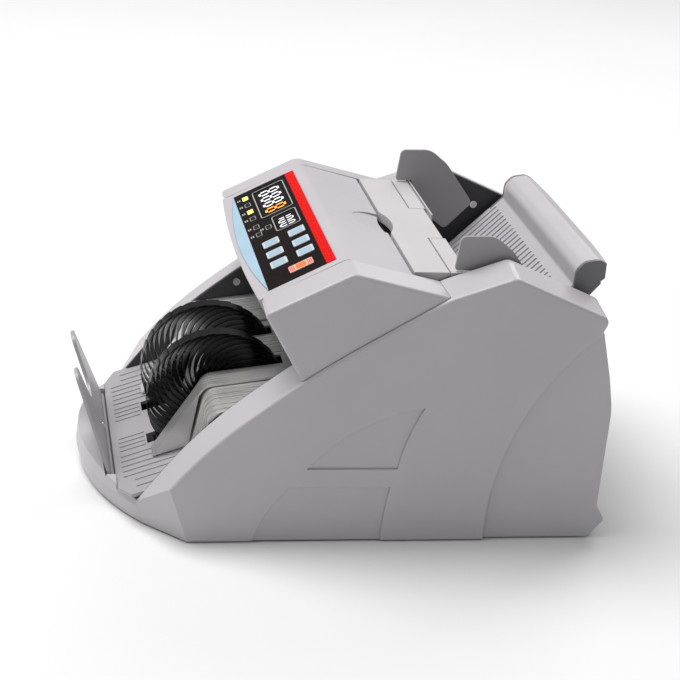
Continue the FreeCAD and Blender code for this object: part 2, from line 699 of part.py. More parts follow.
# ---- top flap, its pin and the bar behind it --------------------------------------
def top_flap():
    """Level lid behind the hood: finger notch in front, tongue with hinge knuckles behind."""
    low = FLAP_TOP - WALL
    lid = box((-FLAP_HALF, FLAP_FRONT, low), (FLAP_HALF, FLAP_REAR, FLAP_TOP))
    tongue = box((-TONGUE_HALF, FLAP_REAR - 1.0, low), (TONGUE_HALF, TONGUE_REAR, FLAP_TOP))
    knuckle_r = FLAP_TOP - 0.6 - FLAP_PIN_AT[1]
    knuckles = [rod(FLAP_PIN_AT, knuckle_r, s * 22.0 - 8.0, s * 22.0 + 8.0) for s in (1, -1)]
    apron_low = low - FLAP_APRON
    apron = box((-FLAP_HALF, FLAP_FRONT, apron_low), (FLAP_HALF, FLAP_FRONT + 2.0, low))
    side = [(FLAP_FRONT, low), (FLAP_FRONT, apron_low), (50.0, apron_low), (FLAP_REAR - 1.6, low - 1.0),
            (FLAP_REAR - 1.6, low)]
    ends = [side_block(side, x - 1.0, x + 1.0) for x in (FLAP_HALF - 1.0, 1.0 - FLAP_HALF)]
    centre = V(0, FLAP_FRONT + NOTCH_DEPTH - NOTCH_R, apron_low)
    notch = Part.makeCylinder(NOTCH_R, FLAP_APRON + WALL, centre, V(0, 0, 1))
    rim = Part.makeCylinder(NOTCH_R + 2.0, FLAP_APRON + WALL, centre, V(0, 0, 1))
    rim = rim.common(box((-FLAP_HALF, FLAP_FRONT, apron_low), (FLAP_HALF, FLAP_REAR, FLAP_TOP)))
    lid = joined([lid, tongue, apron, rim] + ends + knuckles).cut(notch)
    return lid.cut(rod(FLAP_PIN_AT, FLAP_PIN_R + RUN, -60, 60))


save(top_flap(), "top_flap")
save(rod(FLAP_PIN_AT, FLAP_PIN_R, -TONGUE_HALF - 3.6, TONGUE_HALF + 3.6), "flap_pin")


def throat_bar():
    """Front wall of the hopper: a channel across the machine with a bright sensor strip behind it."""
    half = CHANNEL_HALF - 0.2
    wall_rear = BAR_FRONT + 2.2
    front_wall = box((-half, BAR_FRONT, 152.0), (half, wall_rear, FLAP_TOP))
    lintel = box((-half, BAR_FRONT, FLAP_TOP - 2.2), (half, BAR_REAR, FLAP_TOP))
    room = box((-TONGUE_HALF - 0.5, BAR_FRONT - 1, 166.0),
               (TONGUE_HALF + 0.5, BAR_REAR + 0.5, FLAP_TOP + 5))
    ear_x = TONGUE_HALF + 2.5
    ears = [box((x - 2.0, BAR_FRONT, 168.0), (x + 2.0, BAR_REAR, FLAP_TOP)) for x in (ear_x, -ear_x)]
    strip = box((-half, STRIP_BAR_Y[0], 170.0), (STRIP_BAR_END, STRIP_BAR_Y[1], FLAP_TOP + 0.2))
    ledge = box((-half, BAR_FRONT, 170.0), (-ear_x, STRIP_BAR_Y[1], 171.4))
    bar = joined([front_wall, lintel]).cut(room)
    bar = joined([bar, strip, ledge] + ears)
    return bar.cut(rod(FLAP_PIN_AT, FLAP_PIN_R + 0.01, -60, 60))


save(throat_bar(), "throat_bar")


# ---- note guides ------------------------------------------------------------------
GUIDE_OUTLINE = [(62.0, 177.2, 2.0), (64.5, 199.8, 4.0), (86.5, 200.4, 15.0), (99.8, 190.0, 22.0),
                 (121.2, 161.2, 4.0), (101.8, 140.6, 3.5), (90.0, 149.5, 5.0), (74.0, 158.0), (74.0, 177.2)]
GUIDE_FOOT = (RAIL_AT[1] - 4.5, RAIL_AT[1] + 3.5)


def note_guide():
    """Right-hand side guide: an upright plate whose foot slides on the rail under the bar."""
    low, high = GUIDE_FOOT
    outer = GUIDE_INNER + GUIDE_THICK
    plate = side_block(GUIDE_OUTLINE, GUIDE_INNER, outer)
    foot = box((GUIDE_INNER - 8.0, RAIL_AT[0] - 4.8, low), (outer, BAR_REAR - 0.2, high))
    link = box((GUIDE_INNER, RAIL_AT[0], low), (outer, 78.0, high))
    return joined([plate, foot, link]).cut(rod(RAIL_AT, RAIL_R + RUN, 0, 300))


save_pair(note_guide(), "note_guide")
save(rod(RAIL_AT, RAIL_R, -CHANNEL_HALF - SHEET, CHANNEL_HALF + SHEET), "guide_rail")


# ---- hopper plate and handle ------------------------------------------------------
BED_FRONT_Y = RAMP_REAR_Y + GAP
INCLINE_TOP_Y = 140.5
HANDLE_BEND_Y = 143.3
HANDLE_FACE = [(143.9, 177.2, 7.0), (149.0, 182.9, 7.0), (158.5, 184.6, 7.0), (171.0, 179.0, 3.0)]
HANDLE_UNDER = [(152.5, 163.0), (141.0, 157.5)]
HANDLE_HOLLOW = [(141.0, 160.4), (147.3, 171.6), (150.6, 178.6), (158.0, 181.2), (172.0, 174.0),
                 (154.0, 158.0),
                 (142.0, 150.0)]
RIB_FOOT_Y = 104.0
RIB_HEAD_Y = 137.0
RIB_LOW_FOOT_Y = 113.0      # ribs over the pickup rollers start here
HOPPER_RIB_HIGH = 1.3
HOPPER_RIB_WIDE = 2.8


def handle_outline():
    """Side view of the rolled handle at the head of the incline."""
    shelf = 6.0
    start = (INCLINE_TOP_Y - shelf, INCLINE_TOP_Y - shelf + INCLINE_OFFSET)
    bend = (HANDLE_BEND_Y, HANDLE_BEND_Y + INCLINE_OFFSET, 2.5)
    return [start, bend] + HANDLE_FACE + HANDLE_UNDER


def handle_bow():
    """Everything in front of the bowed back of the handle."""
    return arc_plan(HANDLE_HALF, HANDLE_BACK_END, HANDLE_BACK_MID, 40.0, 100.0, 220.0)


def hopper_rib(x, foot_y):
    """One rib up the incline."""
    slope = [(foot_y, -0.5), (foot_y + 1.0, HOPPER_RIB_HIGH), (RIB_HEAD_Y, HOPPER_RIB_HIGH),
             (RIB_HEAD_Y + 1.5, -0.5)]
    profile = [(y, y + INCLINE_OFFSET + high) for y, high in slope]
    return side_block(profile, x - HOPPER_RIB_WIDE / 2, x + HOPPER_RIB_WIDE / 2)


def hopper_plate():
    """Bed and 45-degree incline that the notes rest on, running up into the handle."""
    knee_y = (BED_AT_ZERO - INCLINE_OFFSET) / (1.0 - BED_SLOPE)
    under = WALL * math.sqrt(2.0)
    bed = [(BED_FRONT_Y, bed_z(BED_FRONT_Y)), (knee_y, bed_z(knee_y), 16.0),
           (INCLINE_TOP_Y, INCLINE_TOP_Y + INCLINE_OFFSET),
           (INCLINE_TOP_Y + under, INCLINE_TOP_Y + INCLINE_OFFSET),
           (knee_y + WALL * 0.9, bed_z(knee_y) - WALL * 1.05, 18.0),
           (BED_FRONT_Y, bed_z(BED_FRONT_Y) - WALL)]
    sheet = side_block(bed, -INCLINE_HALF, INCLINE_HALF)
    wall = HANDLE_HALF - HANDLE_CAP
    roll = side_block(handle_outline(), -wall, wall).common(handle_bow())
    roll = roll.cut(side_block(HANDLE_HOLLOW, -wall + WALL, wall - WALL))
    lug = [(108.0, 108.0 + INCLINE_OFFSET - 14.0), (108.0, 108.0 + INCLINE_OFFSET - 3.2),
           (120.0, 120.0 + INCLINE_OFFSET - 3.2), (120.0, 120.0 + INCLINE_OFFSET - 14.0)]
    lugs = [side_block(lug, INCLINE_HALF - 2.0, CHANNEL_HALF),
            side_block(lug, -CHANNEL_HALF, 2.0 - INCLINE_HALF)]
    body = joined([sheet, roll] + lugs)
    body = body.cut(back_shell_region()).cut(handle_ends())
    for x in FEED_X:
        body = body.cut(box((x - 8.5, 2.0, 85.0), (x + 8.5, 58.0, 110.0)))
    for x in PICKUP_X:
        body = body.cut(rod(PICKUP_AT, PICKUP_R + 1.6, x - 10.0, x + 10.0))
    pitch = 2.0 * (INCLINE_HALF - 3.0) / HOPPER_RIBS
    ribs = []
    for i in range(HOPPER_RIBS):
        x = -INCLINE_HALF + 3.0 + pitch * (i + 0.5)
        over_pickup = any(abs(x - px) <= 13.0 for px in PICKUP_X)
        ribs.append(hopper_rib(x, RIB_LOW_FOOT_Y if over_pickup else RIB_FOOT_Y))
    return joined([body] + ribs)


def handle_ends():
    """The two end caps of the handle."""
    wall = HANDLE_HALF - HANDLE_CAP
    ends = [side_block(handle_outline(), wall, HANDLE_HALF),
            side_block(handle_outline(), -HANDLE_HALF, -wall)]
    return ends[0].fuse(ends[1]).common(handle_bow())


def back_shell_region():
    """Behind and under this line the handle is closed by its separate back shell."""
    return side_block([(143.0, 150.0), (143.0, 161.0), (152.0, 166.6), (167.0, 176.0), (190.0, 176.0),
                       (190.0, 150.0)],
                      -HANDLE_HALF - 5, HANDLE_HALF + 5)


def handle_shell():
    """Dark back shell of the handle with its end caps."""
    region = [(143.3, 157.5), (143.3, 160.8), (152.1, 166.2), (166.6, 175.2, 1.5), (153.6, 159.6, 3.0)]
    shell = side_block(region, -HANDLE_HALF, HANDLE_HALF).common(handle_bow())
    return joined([shell, handle_ends()])


save(hopper_plate(), "hopper_plate")
save(handle_shell(), "handle_shell")


# ---- stacker floor, ramp and guide strips -----------------------------------------
def rib_rows(x_low, x_high, profile):
    """Low ribs with a side-view profile, spaced across a field."""
    count = int((x_high - x_low) / RIB_PITCH)
    ribs = []
    for i in range(count):
        x = x_low + (x_high - x_low) * (i + 0.5) / count
        ribs.append(side_block(profile, x - RIB_WIDE / 2, x + RIB_WIDE / 2))
    return ribs


def impeller_slots(y_low, y_high):
    """Openings that the impeller fins pass through."""
    return [box((s * IMPELLER_X - SLOT_HALF, y_low, 0),
                (s * IMPELLER_X + SLOT_HALF, y_high, 150)) for s in (1, -1)]


def floor_corner(slack):
    """Plan of the left front corner where the floor makes way for the nose."""
    half = NOSE_HALF + slack
    front = FLOOR_FRONT[0]
    return [(-half - 1.0, front - 1.0), (-half - 1.0, FLOOR_CORNER[1] - slack),
            (FLOOR_CORNER[0] + slack, front - 1.0)]


def stacker_floor():
    """Sloping floor under the counted notes."""
    rear = RAMP_FOOT_Y - 0.2
    half = CHANNEL_HALF - GAP
    profile = [(FLOOR_FRONT[0], FLOOR_FRONT[1]), (rear, floor_z(rear)),
               (rear, floor_z(rear) - WALL), (FLOOR_FRONT[0], FLOOR_FRONT[1] - WALL)]
    floor = side_block(profile, -half, half)
    tab = [(y if y < FLOOR_TAB_END else FLOOR_TAB_END, floor_z(min(y, FLOOR_TAB_END)) - drop)
           for (y, _), drop in zip(profile, (0.0, 0.0, WALL, WALL))]
    floor = joined([floor, side_block(tab, half, NOSE_HALF), side_block(tab, -NOSE_HALF, -half)])
    for sign in (1, -1):
        floor = floor.cut(plan_block([(sign * x, y) for x, y in floor_corner(0.0)], 0, 60))
    for slot in impeller_slots(SLOT_FRONT_Y, -90.0):
        floor = floor.cut(slot)
    start, end = -141.8, rear - 4.0
    ribs = [(start, floor_z(start) - 0.3), (start + 1.5, floor_z(start + 1.5) + RIB_HIGH),
            (end, floor_z(end) + RIB_HIGH), (end, floor_z(end) - 0.3)]
    fields = rib_rows(40.0, 78.0, ribs) + rib_rows(-78.0, -40.0, ribs)
    late = [(y + 7.0 if y < -139.0 else y, z) for y, z in ribs]
    late = [(y, floor_z(y) + (RIB_HIGH if z > floor_z(y0) else -0.3)) for (y, _),
            (y0, z) in zip(late, ribs)]
    fields = fields + rib_rows(78.0, 97.0, late) + rib_rows(-97.0, -78.0, late)
    short_end = SLOT_FRONT_Y - 1.5
    short = [(start, floor_z(start) - 0.3), (start + 1.5, floor_z(start + 1.5) + RIB_HIGH),
             (short_end, floor_z(short_end) + RIB_HIGH), (short_end, floor_z(short_end) - 0.3)]
    fields = fields + rib_rows(12.0, 38.0, short) + rib_rows(-38.0, -12.0, short)
    return joined([floor] + fields)


def ramp_outline(lift, thick):
    """Side view of the ramp sheet, or of a rib that lies on it when lift is positive."""
    foot = (RAMP_FOOT_Y - lift, floor_z(RAMP_FOOT_Y) + 0.4)
    brow = (RAMP_TOP_Y - 8.0 - lift, bed_z(RAMP_TOP_Y - 8.0) + lift)
    rear = (RAMP_REAR_Y, bed_z(RAMP_REAR_Y) + lift)
    low_rear = (RAMP_REAR_Y, bed_z(RAMP_REAR_Y) + lift - thick)
    low_brow = (brow[0] + thick * 1.05, bed_z(brow[0]) + lift - thick * 1.1)
    low_foot = (foot[0] + thick, foot[1])
    return [foot, brow + (10.0 + lift,), rear, low_rear, low_brow + (10.0 + lift - thick,), low_foot]


def stacker_ramp():
    """Bright ribbed sheet behind the stacked notes."""
    half = CHANNEL_HALF - GAP
    sheet = side_block(ramp_outline(0.0, SHEET), -half, half)
    ribs = []
    for low, high in ((64.0, 98.0), (-98.0, -64.0), (-17.0, 17.0)):
        ribs = ribs + rib_rows(low, high, ramp_outline(RIB_HIGH, SHEET))
    ramp = joined([sheet] + ribs)
    for slot in impeller_slots(-140.0, SLOT_REAR_Y):
        ramp = ramp.cut(slot)
    for x in FEED_X:
        ramp = ramp.cut(box((x - 8.5, 2.0, 80.0), (x + 8.5, 58.0, 110.0)))
    return ramp


def guide_strip():
    """Right-hand polished strip: rises from the floor, bends over the ramp, with a side gusset."""
    lift = 2.0
    foot = (-121.0, floor_z(-121.0) + RIB_HIGH + 1.3)
    brow_y = -89.0
    brow = (brow_y, bed_z(brow_y) + lift)
    rear = (-24.0, bed_z(-24.0) + lift)
    thick = 1.4
    strip = [foot, brow + (11.0,), rear, (rear[0], rear[1] - thick),
             (brow[0] + thick * 0.6, brow[1] - thick, 9.6), (foot[0] + thick * 1.3, foot[1])]
    band = side_block(strip, STRIP_X[0], STRIP_X[1])
    gusset = [(foot[0] + 1.0, foot[1]), (brow[0] - 3.0, brow[1] - 6.0), (RAMP_FOOT_Y + 3.4, 64.0),
              (RAMP_FOOT_Y - 0.9, floor_z(RAMP_FOOT_Y) + RIB_HIGH + 0.5)]
    plate = side_block(gusset, STRIP_X[1] - 1.2, STRIP_X[1])
    return joined([band, plate])


save(stacker_floor(), "stacker_floor")
save(stacker_ramp(), "stacker_ramp")
save_pair(guide_strip(), "guide_strip")


# ---- nose -------------------------------------------------------------------------
def nose_wire(swell, z):
    """Plan outline of the nose at one height."""
    end_y = NOSE_END_Y - 1.3 * swell
    left, right = V(-NOSE_HALF, end_y, z), V(NOSE_HALF, end_y, z)
    back = NOSE_BACK_Y
    return Part.Wire([Part.Arc(left, V(0, NOSE_MID_Y - swell, z), right).toShape(),
                      Part.LineSegment(right, V(NOSE_HALF, back, z)).toShape(),
                      Part.LineSegment(V(NOSE_HALF, back, z), V(-NOSE_HALF, back, z)).toShape(),
                      Part.LineSegment(V(-NOSE_HALF, back, z), left).toShape()])


def front_nose():
    """Bowed front piece that closes the stacker and carries the stop plate's hinge."""
    lower = Part.makeLoft([nose_wire(0.0, BOTTOM), nose_wire(NOSE_SWELL, NOSE_SEAM_Z)], True, True)
    upper = Part.makeLoft([nose_wire(NOSE_SWELL + 0.4, NOSE_SEAM_Z),
                           nose_wire(NOSE_SWELL - 0.6, NOSE_TOP)], True, True)
    body = joined([lower, upper])
    left, right = V(-NOSE_HALF, -220, NOSE_TOP_END), V(NOSE_HALF, -220, NOSE_TOP_END)
    arch = Part.Arc(left, V(0, -220, NOSE_TOP), right).toShape()
    walls = [Part.LineSegment(right, V(right.x, -220, 0)).toShape(),
             Part.LineSegment(V(right.x, -220, 0), V(left.x, -220, 0)).toShape(),
             Part.LineSegment(V(left.x, -220, 0), left).toShape()]
    body = body.common(Part.Face(Part.Wire([arch] + walls)).extrude(V(0, 140, 0)))
    pit = HINGE_AT[1] - HINGE_R - 1.0
    lean = math.tan(math.radians(PLATE_LEAN))
    front = HINGE_AT[0] - HINGE_R - HINGE_GAP
    front_high = HINGE_AT[0] - lean * 23.0 - PLATE_THICK / 2 - 2.0 * HINGE_GAP
    floor_low = FLOOR_FRONT[1] - WALL - 0.4
    basin = side_block([(front_high, HINGE_AT[1] + 23.0), (front, HINGE_AT[1]), (front, pit),
                        (FLOOR_FRONT[0], pit),
                        (FLOOR_FRONT[0], floor_low), (-120.0, floor_z(-120.0) - WALL - 0.4), (-120.0,
                         HINGE_AT[1] + 23.0)],
                       -PLATE_FOOT_HALF - 0.5, PLATE_FOOT_HALF + 0.5)
    body = body.cut(basin)
    under_floor = side_block([(FLOOR_FRONT[0] - GAP, 60.0), (FLOOR_FRONT[0] - GAP, floor_low),
                              (-120.0, floor_z(-120.0) - WALL - 0.4), (-120.0, 60.0)],
                             -NOSE_HALF - 1.0, NOSE_HALF + 1.0)
    for sign in (1, -1):
        keep = plan_block([(sign * x, y) for x, y in floor_corner(-GAP)], 0, 80)
        under_floor = under_floor.cut(keep)
    body = body.cut(under_floor)
    hollow = Part.makeLoft([nose_wire(-WALL - 1.5, 0.0), nose_wire(-WALL, 10.0)], True, True)
    hollow = hollow.common(box((-NOSE_HALF + WALL, -200, -5), (NOSE_HALF - WALL, NOSE_BACK_Y - WALL, 9.5)))
    body = body.cut(hollow)
    beside = box((STRIP_INNER - GAP, -160.0, -5.0), (HALF_WIDTH, -100.0, 60.0)).cut(facet_cut())
    body = body.cut(beside).cut(mirrored(beside))
    return body.cut(rod(HINGE_AT, PIN_R + 0.01, -PLATE_FOOT_HALF - 4.0, PLATE_FOOT_HALF + 4.0))


save(front_nose(), "front_nose")
save(rod(HINGE_AT, PIN_R, -PLATE_FOOT_HALF - 3.8, PLATE_FOOT_HALF + 3.8), "stop_hinge_pin")


def stop_plate():
    """Two-winged plate that keeps the stack in; it leans outward and folds in on its pin."""
    foot = PLATE_FOOT_HALF
    length = PLATE_LENGTH
    wings = [(-foot, 0.0), (foot, 0.0), (foot - 2.0, 8.0, 10.0), (PLATE_TIP + 8.0, length, 8.0),
             (PLATE_TIP - 9.0, length, 8.0),
             (12.0, 34.0, 14.0), (-12.0, 34.0, 14.0), (-PLATE_TIP + 9.0, length, 8.0), (-PLATE_TIP - 8.0,
                                                                                        length, 8.0),
             (-foot + 2.0, 8.0, 10.0)]
    face = loop(wings, lambda x, v: V(x, HINGE_AT[0] + PLATE_THICK / 2, HINGE_AT[1] + v))
    plate = face.extrude(V(0, -PLATE_THICK, 0))
    barrel = rod(HINGE_AT, HINGE_R, -foot, foot)
    body = joined([plate, barrel])
    body.rotate(V(0, HINGE_AT[0], HINGE_AT[1]), V(1, 0, 0), PLATE_LEAN)
    return body.cut(rod(HINGE_AT, PIN_R + RUN, -200, 200))


save(stop_plate(), "stop_plate")


# ---- stacking impellers -----------------------------------------------------------
def fin():
    """One swept rubber fin in the side view, from the hub out to the tip circle."""
    root = HUB_R - 1.5
    path, halves = [], []
    for t in (0.0, 0.5, 1.0):
        radius = root + (IMPELLER_R - root) * t
        angle = -math.radians(FIN_SWEEP) * t ** 1.35
        path.append(V(0, radius * math.cos(angle), radius * math.sin(angle)))
        halves.append(FIN_THICK * (0.62 - 0.42 * t))
    middle = Part.Arc(*path).toShape()
    first, last = middle.FirstParameter, middle.LastParameter
    left, right = [], []
    for point, half, place in zip(path, halves, (first, (first + last) / 2.0, last)):
        along = middle.tangentAt(place)
        across = V(0, -along.z, along.y) * half
        left.append(point + across)
        right.append(point - across)
    edges = [Part.Arc(*left).toShape(), Part.LineSegment(left[2], right[2]).toShape(),
             Part.Arc(right[2], right[1], right[0]).toShape(), Part.LineSegment(right[0],
                                                                                left[0]).toShape()]
    return Part.Face(Part.Wire(edges))


def impeller(x):
    """Rubber wheel: hub with swept fins, bored for the shaft."""
    low = x - IMPELLER_WIDTH / 2
    blade = fin().extrude(V(IMPELLER_WIDTH, 0, 0))
    blade.translate(V(low, IMPELLER_AT[0], IMPELLER_AT[1]))
    centre = V(0, IMPELLER_AT[0], IMPELLER_AT[1])
    pieces = [rod(IMPELLER_AT, HUB_R, low - 1.0, low + IMPELLER_WIDTH + 1.0)]
    for i in range(FIN_COUNT):
        copy = blade.copy()
        copy.rotate(centre, V(1, 0, 0), 360.0 * i / FIN_COUNT)
        pieces.append(copy)
    return joined(pieces).cut(rod(IMPELLER_AT, SHAFT_R, low - 5.0, low + IMPELLER_WIDTH + 5.0))


save(impeller(IMPELLER_X), "impeller_right")
save(impeller(-IMPELLER_X), "impeller_left")
save(rod(IMPELLER_AT, SHAFT_R, SHAFT_LEFT + 8.0, SHAFT_RIGHT - 7.0), "impeller_shaft")


# ---- feed, pickup and retard rollers ----------------------------------------------
def roller(at, radius, x, width, core):
    """Rubber-covered roller on a shaft of radius core."""
    body = tube(at, radius, core, x - width / 2, x + width / 2)
    return body


save(rod(FEED_AT, SHAFT_R, SHAFT_LEFT, SHAFT_RIGHT), "feed_shaft")
save(group([roller(FEED_AT, FEED_R, x, FEED_ROLLER_WIDTH, SHAFT_R) for x in FEED_X]), "feed_rollers")
save(rod(PICKUP_AT, SHAFT_R, SHAFT_LEFT + 8.0, SHAFT_RIGHT), "pickup_shaft")
save(group([roller(PICKUP_AT, PICKUP_R, x, 16.0, SHAFT_R) for x in PICKUP_X]), "pickup_rollers")

RETARD_AT = (FEED_AT[0] - 4.0, FEED_AT[1] + math.sqrt((FEED_R + RETARD_R + RETARD_GAP) ** 2 - 16.0))
RETARD_CORE = 3.0
ADJUST_Y = 46.5
save(group([tube(RETARD_AT, RETARD_R, RETARD_CORE, x - 7.0, x + 7.0) for x in (-22.0, 22.0)]),
     "retard_rollers")


def retard_bracket():
    """Bracket that holds the fixed retard rollers over the feed rollers."""
    axle = rod(RETARD_AT, RETARD_CORE, -34.0, 34.0)
    arms = []
    for x in (-33.0, 0.0, 33.0):
        arms.append(box((x - 1.5, RETARD_AT[0] - 6.0, RETARD_AT[1] - 5.0),
                        (x + 1.5, RETARD_AT[0] + 6.0, RETARD_AT[1] + 22.0)))
    bridge = box((-34.5, RETARD_AT[0] - 8.0, RETARD_AT[1] + 19.0),
                 (34.5, ADJUST_Y + 6.0, RETARD_AT[1] + 22.0))
    nut = Part.makeCylinder(5.5, 8.0, V(0, ADJUST_Y, RETARD_AT[1] + 22.0), V(0, 0, 1))
    hanger = rod(TIE_RODS[4], TIE_R + 3.0, -30.0, 30.0)
    link = box((-28.0, TIE_RODS[4][0] - 3.0, RETARD_AT[1] + 20.0),
               (28.0, TIE_RODS[4][0] + 3.0, TIE_RODS[4][1] - TIE_R - 1.0))
    body = joined([axle, bridge, nut, hanger, link] + arms)
    body = body.cut(rod(TIE_RODS[4], TIE_R + RUN, -100, 100))
    return body.cut(Part.makeCylinder(2.5 + RUN, 60.0, V(0, ADJUST_Y, RETARD_AT[1] + 10.0), V(0, 0, 1)))


save(retard_bracket(), "retard_bracket")

SCREW_TOP = 166.0


def density_screw():
    """Thumbscrew under the flap that sets the gap at the retard rollers."""
    y = ADJUST_Y
    shank = Part.makeCylinder(2.5, SCREW_TOP - RETARD_AT[1] - 16.0, V(0, y, RETARD_AT[1] + 16.0),
                              V(0, 0, 1))
    head = Part.makeCylinder(9.0, 7.0, V(0, y, SCREW_TOP - 7.0), V(0, 0, 1))
    for i in range(18):
        angle = 2.0 * math.pi * i / 18
        groove = Part.makeCylinder(0.9, 9.0,
                                   V(9.3 * math.cos(angle), y + 9.3 * math.sin(angle),
                                     SCREW_TOP - 8.0), V(0, 0, 1))
        head = head.cut(groove)
    return joined([shank, head])


save(density_screw(), "density_screw")


# ---- bushes, pulleys, belts, encoder ----------------------------------------------
def bush(at, side):
    """Flanged bush in a frame plate."""
    body = joined([rod(at, BUSH_R - RUN, CHANNEL_HALF, CHANNEL_HALF + SHEET),
                   rod(at, BUSH_FLANGE, CHANNEL_HALF + SHEET, CHANNEL_HALF + SHEET + 1.5)])
    body = body.cut(rod(at, SHAFT_R + RUN, 0, 300))
    return body if side > 0 else mirrored(body)


save(group([bush(at, side) for at, _ in SHAFTS for side in (1, -1)]), "shaft_bushes")


def pulley(at, radius, x, core, lands):
    """Flanged belt pulley with one or more lands."""
    width = BELT_WIDTH + 0.6
    pieces = []
    for land in lands:
        pieces.append(rod(at, radius, land - 1.0, land + width))
        pieces.append(rod(at, radius + 2.0, land - 1.0, land - 0.3))
        pieces.append(rod(at, radius + 2.0, land + width - 0.3, land + width + 0.4))
    body = joined(pieces)
    return body.cut(rod(at, core, x - 50.0, x + 50.0))


all_lands = [BELT_X["motor"], BELT_X["impeller"], BELT_X["pickup"]]
save(pulley(FEED_AT, PULLEY_R["feed"], 110.0, SHAFT_R, all_lands), "feed_pulley")
save(pulley(IMPELLER_AT, PULLEY_R["impeller"], 110.0, SHAFT_R, [BELT_X["impeller"]]), "impeller_pulley")
save(pulley(PICKUP_AT, PULLEY_R["pickup"], 116.0, SHAFT_R, [BELT_X["pickup"]]), "pickup_pulley")
MOTOR_SHAFT_R = 2.5
MOTOR_SHAFT_X = 80.0
motor_shaft = rod(MOTOR_AT, MOTOR_SHAFT_R, MOTOR_SHAFT_X, BELT_X["motor"] + BELT_WIDTH + 1.0)
save(joined([pulley(MOTOR_AT, PULLEY_R["motor"], BELT_X["motor"], MOTOR_SHAFT_R, [BELT_X["motor"]]),
             motor_shaft]),
     "motor_pulley")


def belt(at_a, radius_a, at_b, radius_b, x):
    """Flat belt round two pulleys, standing just clear of them."""
    def wrap(extra):
        ra, rb = radius_a + extra, radius_b + extra
        a, b = V(0, at_a[0], at_a[1]), V(0, at_b[0], at_b[1])
        along = b - a
        span = along.Length
        angle = math.acos((ra - rb) / span)
        base = math.atan2(along.z, along.y)

        def spot(centre, radius, turn):
            return centre + V(0, radius * math.cos(base + turn), radius * math.sin(base + turn))

        a_up, a_low, a_far = spot(a, ra, angle), spot(a, ra, -angle), spot(a, ra, math.pi)
        b_up, b_low, b_far = spot(b, rb, angle), spot(b, rb, -angle), spot(b, rb, 0.0)
        edges = [Part.Arc(a_up, a_far, a_low).toShape(), Part.LineSegment(a_low, b_low).toShape(),
                 Part.Arc(b_low, b_far, b_up).toShape(), Part.LineSegment(b_up, a_up).toShape()]
        return Part.Face(Part.Wire(edges))
    outer = wrap(GAP + BELT_THICK)
    inner = wrap(GAP)
    loop_face = outer.cut(inner)
    body = loop_face.extrude(V(BELT_WIDTH, 0, 0))
    body.translate(V(x, 0, 0))
    return body


belts = [belt(MOTOR_AT, PULLEY_R["motor"], FEED_AT, PULLEY_R["feed"], BELT_X["motor"]),
         belt(FEED_AT, PULLEY_R["feed"], IMPELLER_AT, PULLEY_R["impeller"], BELT_X["impeller"]),
         belt(FEED_AT, PULLEY_R["feed"], PICKUP_AT, PULLEY_R["pickup"], BELT_X["pickup"])]
save(group(belts), "drive_belts")


def encoder_disc():
    """Slotted disc on the feed shaft, read by a light gate."""
    disc = tube(FEED_AT, 20.0, SHAFT_R, SHAFT_LEFT + 1.0, SHAFT_LEFT + 2.2)
    hub = tube(FEED_AT, 7.0, SHAFT_R, SHAFT_LEFT + 1.0, SHAFT_LEFT + 6.0)
    slots = []
    for i in range(24):
        slot = box((SHAFT_LEFT, FEED_AT[0] - 0.8, FEED_AT[1] + 14.0),
                   (SHAFT_LEFT + 3.0, FEED_AT[0] + 0.8, FEED_AT[1] + 18.0))
        slot.rotate(V(0, FEED_AT[0], FEED_AT[1]), V(1, 0, 0), 15.0 * i)
        slots.append(slot)
    return joined([disc, hub]).cut(Part.makeCompound(slots))


save(encoder_disc(), "encoder_disc")


# ---- motor and electrics ----------------------------------------------------------
def drive_motor():
    """Motor with its end boss and mounting lugs on the right frame plate."""
    can = rod(MOTOR_AT, MOTOR_R, 34.0, 97.0)
    flange = box((97.0, MOTOR_AT[0] - 22.0, MOTOR_AT[1] - 22.0),
                 (CHANNEL_HALF, MOTOR_AT[0] + 22.0, MOTOR_AT[1] + 22.0))
    boss = rod(MOTOR_AT, 6.0, 28.0, 34.0)
    foot = box((45.0, MOTOR_AT[0] - 14.0, PAN_TOP), (87.0, MOTOR_AT[0] + 14.0, MOTOR_AT[1] - 10.0))
    body = joined([can, flange, boss, foot])
    return body.cut(rod(MOTOR_AT, MOTOR_SHAFT_R + RUN, MOTOR_SHAFT_X - 1.0, 200.0))


save(drive_motor(), "drive_motor")


def main_board():
    """Control board on the pan, with its larger components."""
    card = box((-80.0, -30.0, 12.0), (40.0, 80.0, 13.6))
    posts = [box((x - 3, y - 3, PAN_TOP), (x + 3, y + 3, 12.0)) for x in (-74, 34) for y in (-24, 74)]
    parts = [box((-60.0, -10.0, 13.6), (-30.0, 20.0, 17.0)), box((0.0, 30.0, 13.6), (30.0, 60.0, 24.0)),
             box((-70.0, 40.0, 13.6), (-50.0, 70.0, 28.0)), box((-20.0, -25.0, 13.6), (20.0, -18.0, 20.0))]
    drums = [Part.makeCylinder(6.0, 22.0, V(x, 50.0, 13.6), V(0, 0, 1)) for x in (-36.0, -18.0)]
    return joined([card] + posts + parts + drums)


save(main_board(), "main_board")


def transformer():
    """Mains transformer: laminated core with its winding."""
    core = box((-70.0, 100.0, PAN_TOP), (-14.0, 128.0, 50.0))
    coil = box((-58.0, 94.0, 14.0), (-26.0, 134.0, 41.0))
    return joined([core, coil])


save(transformer(), "transformer")


def back_y(z):
    """Outer face of the rear cover at a height in its flat middle."""
    (y_high, z_high, _), (y_low, z_low, _) = REAR_BACK[1], REAR_BACK[2]
    return y_low + (y_high - y_low) * (z - z_low) / (z_high - z_low)


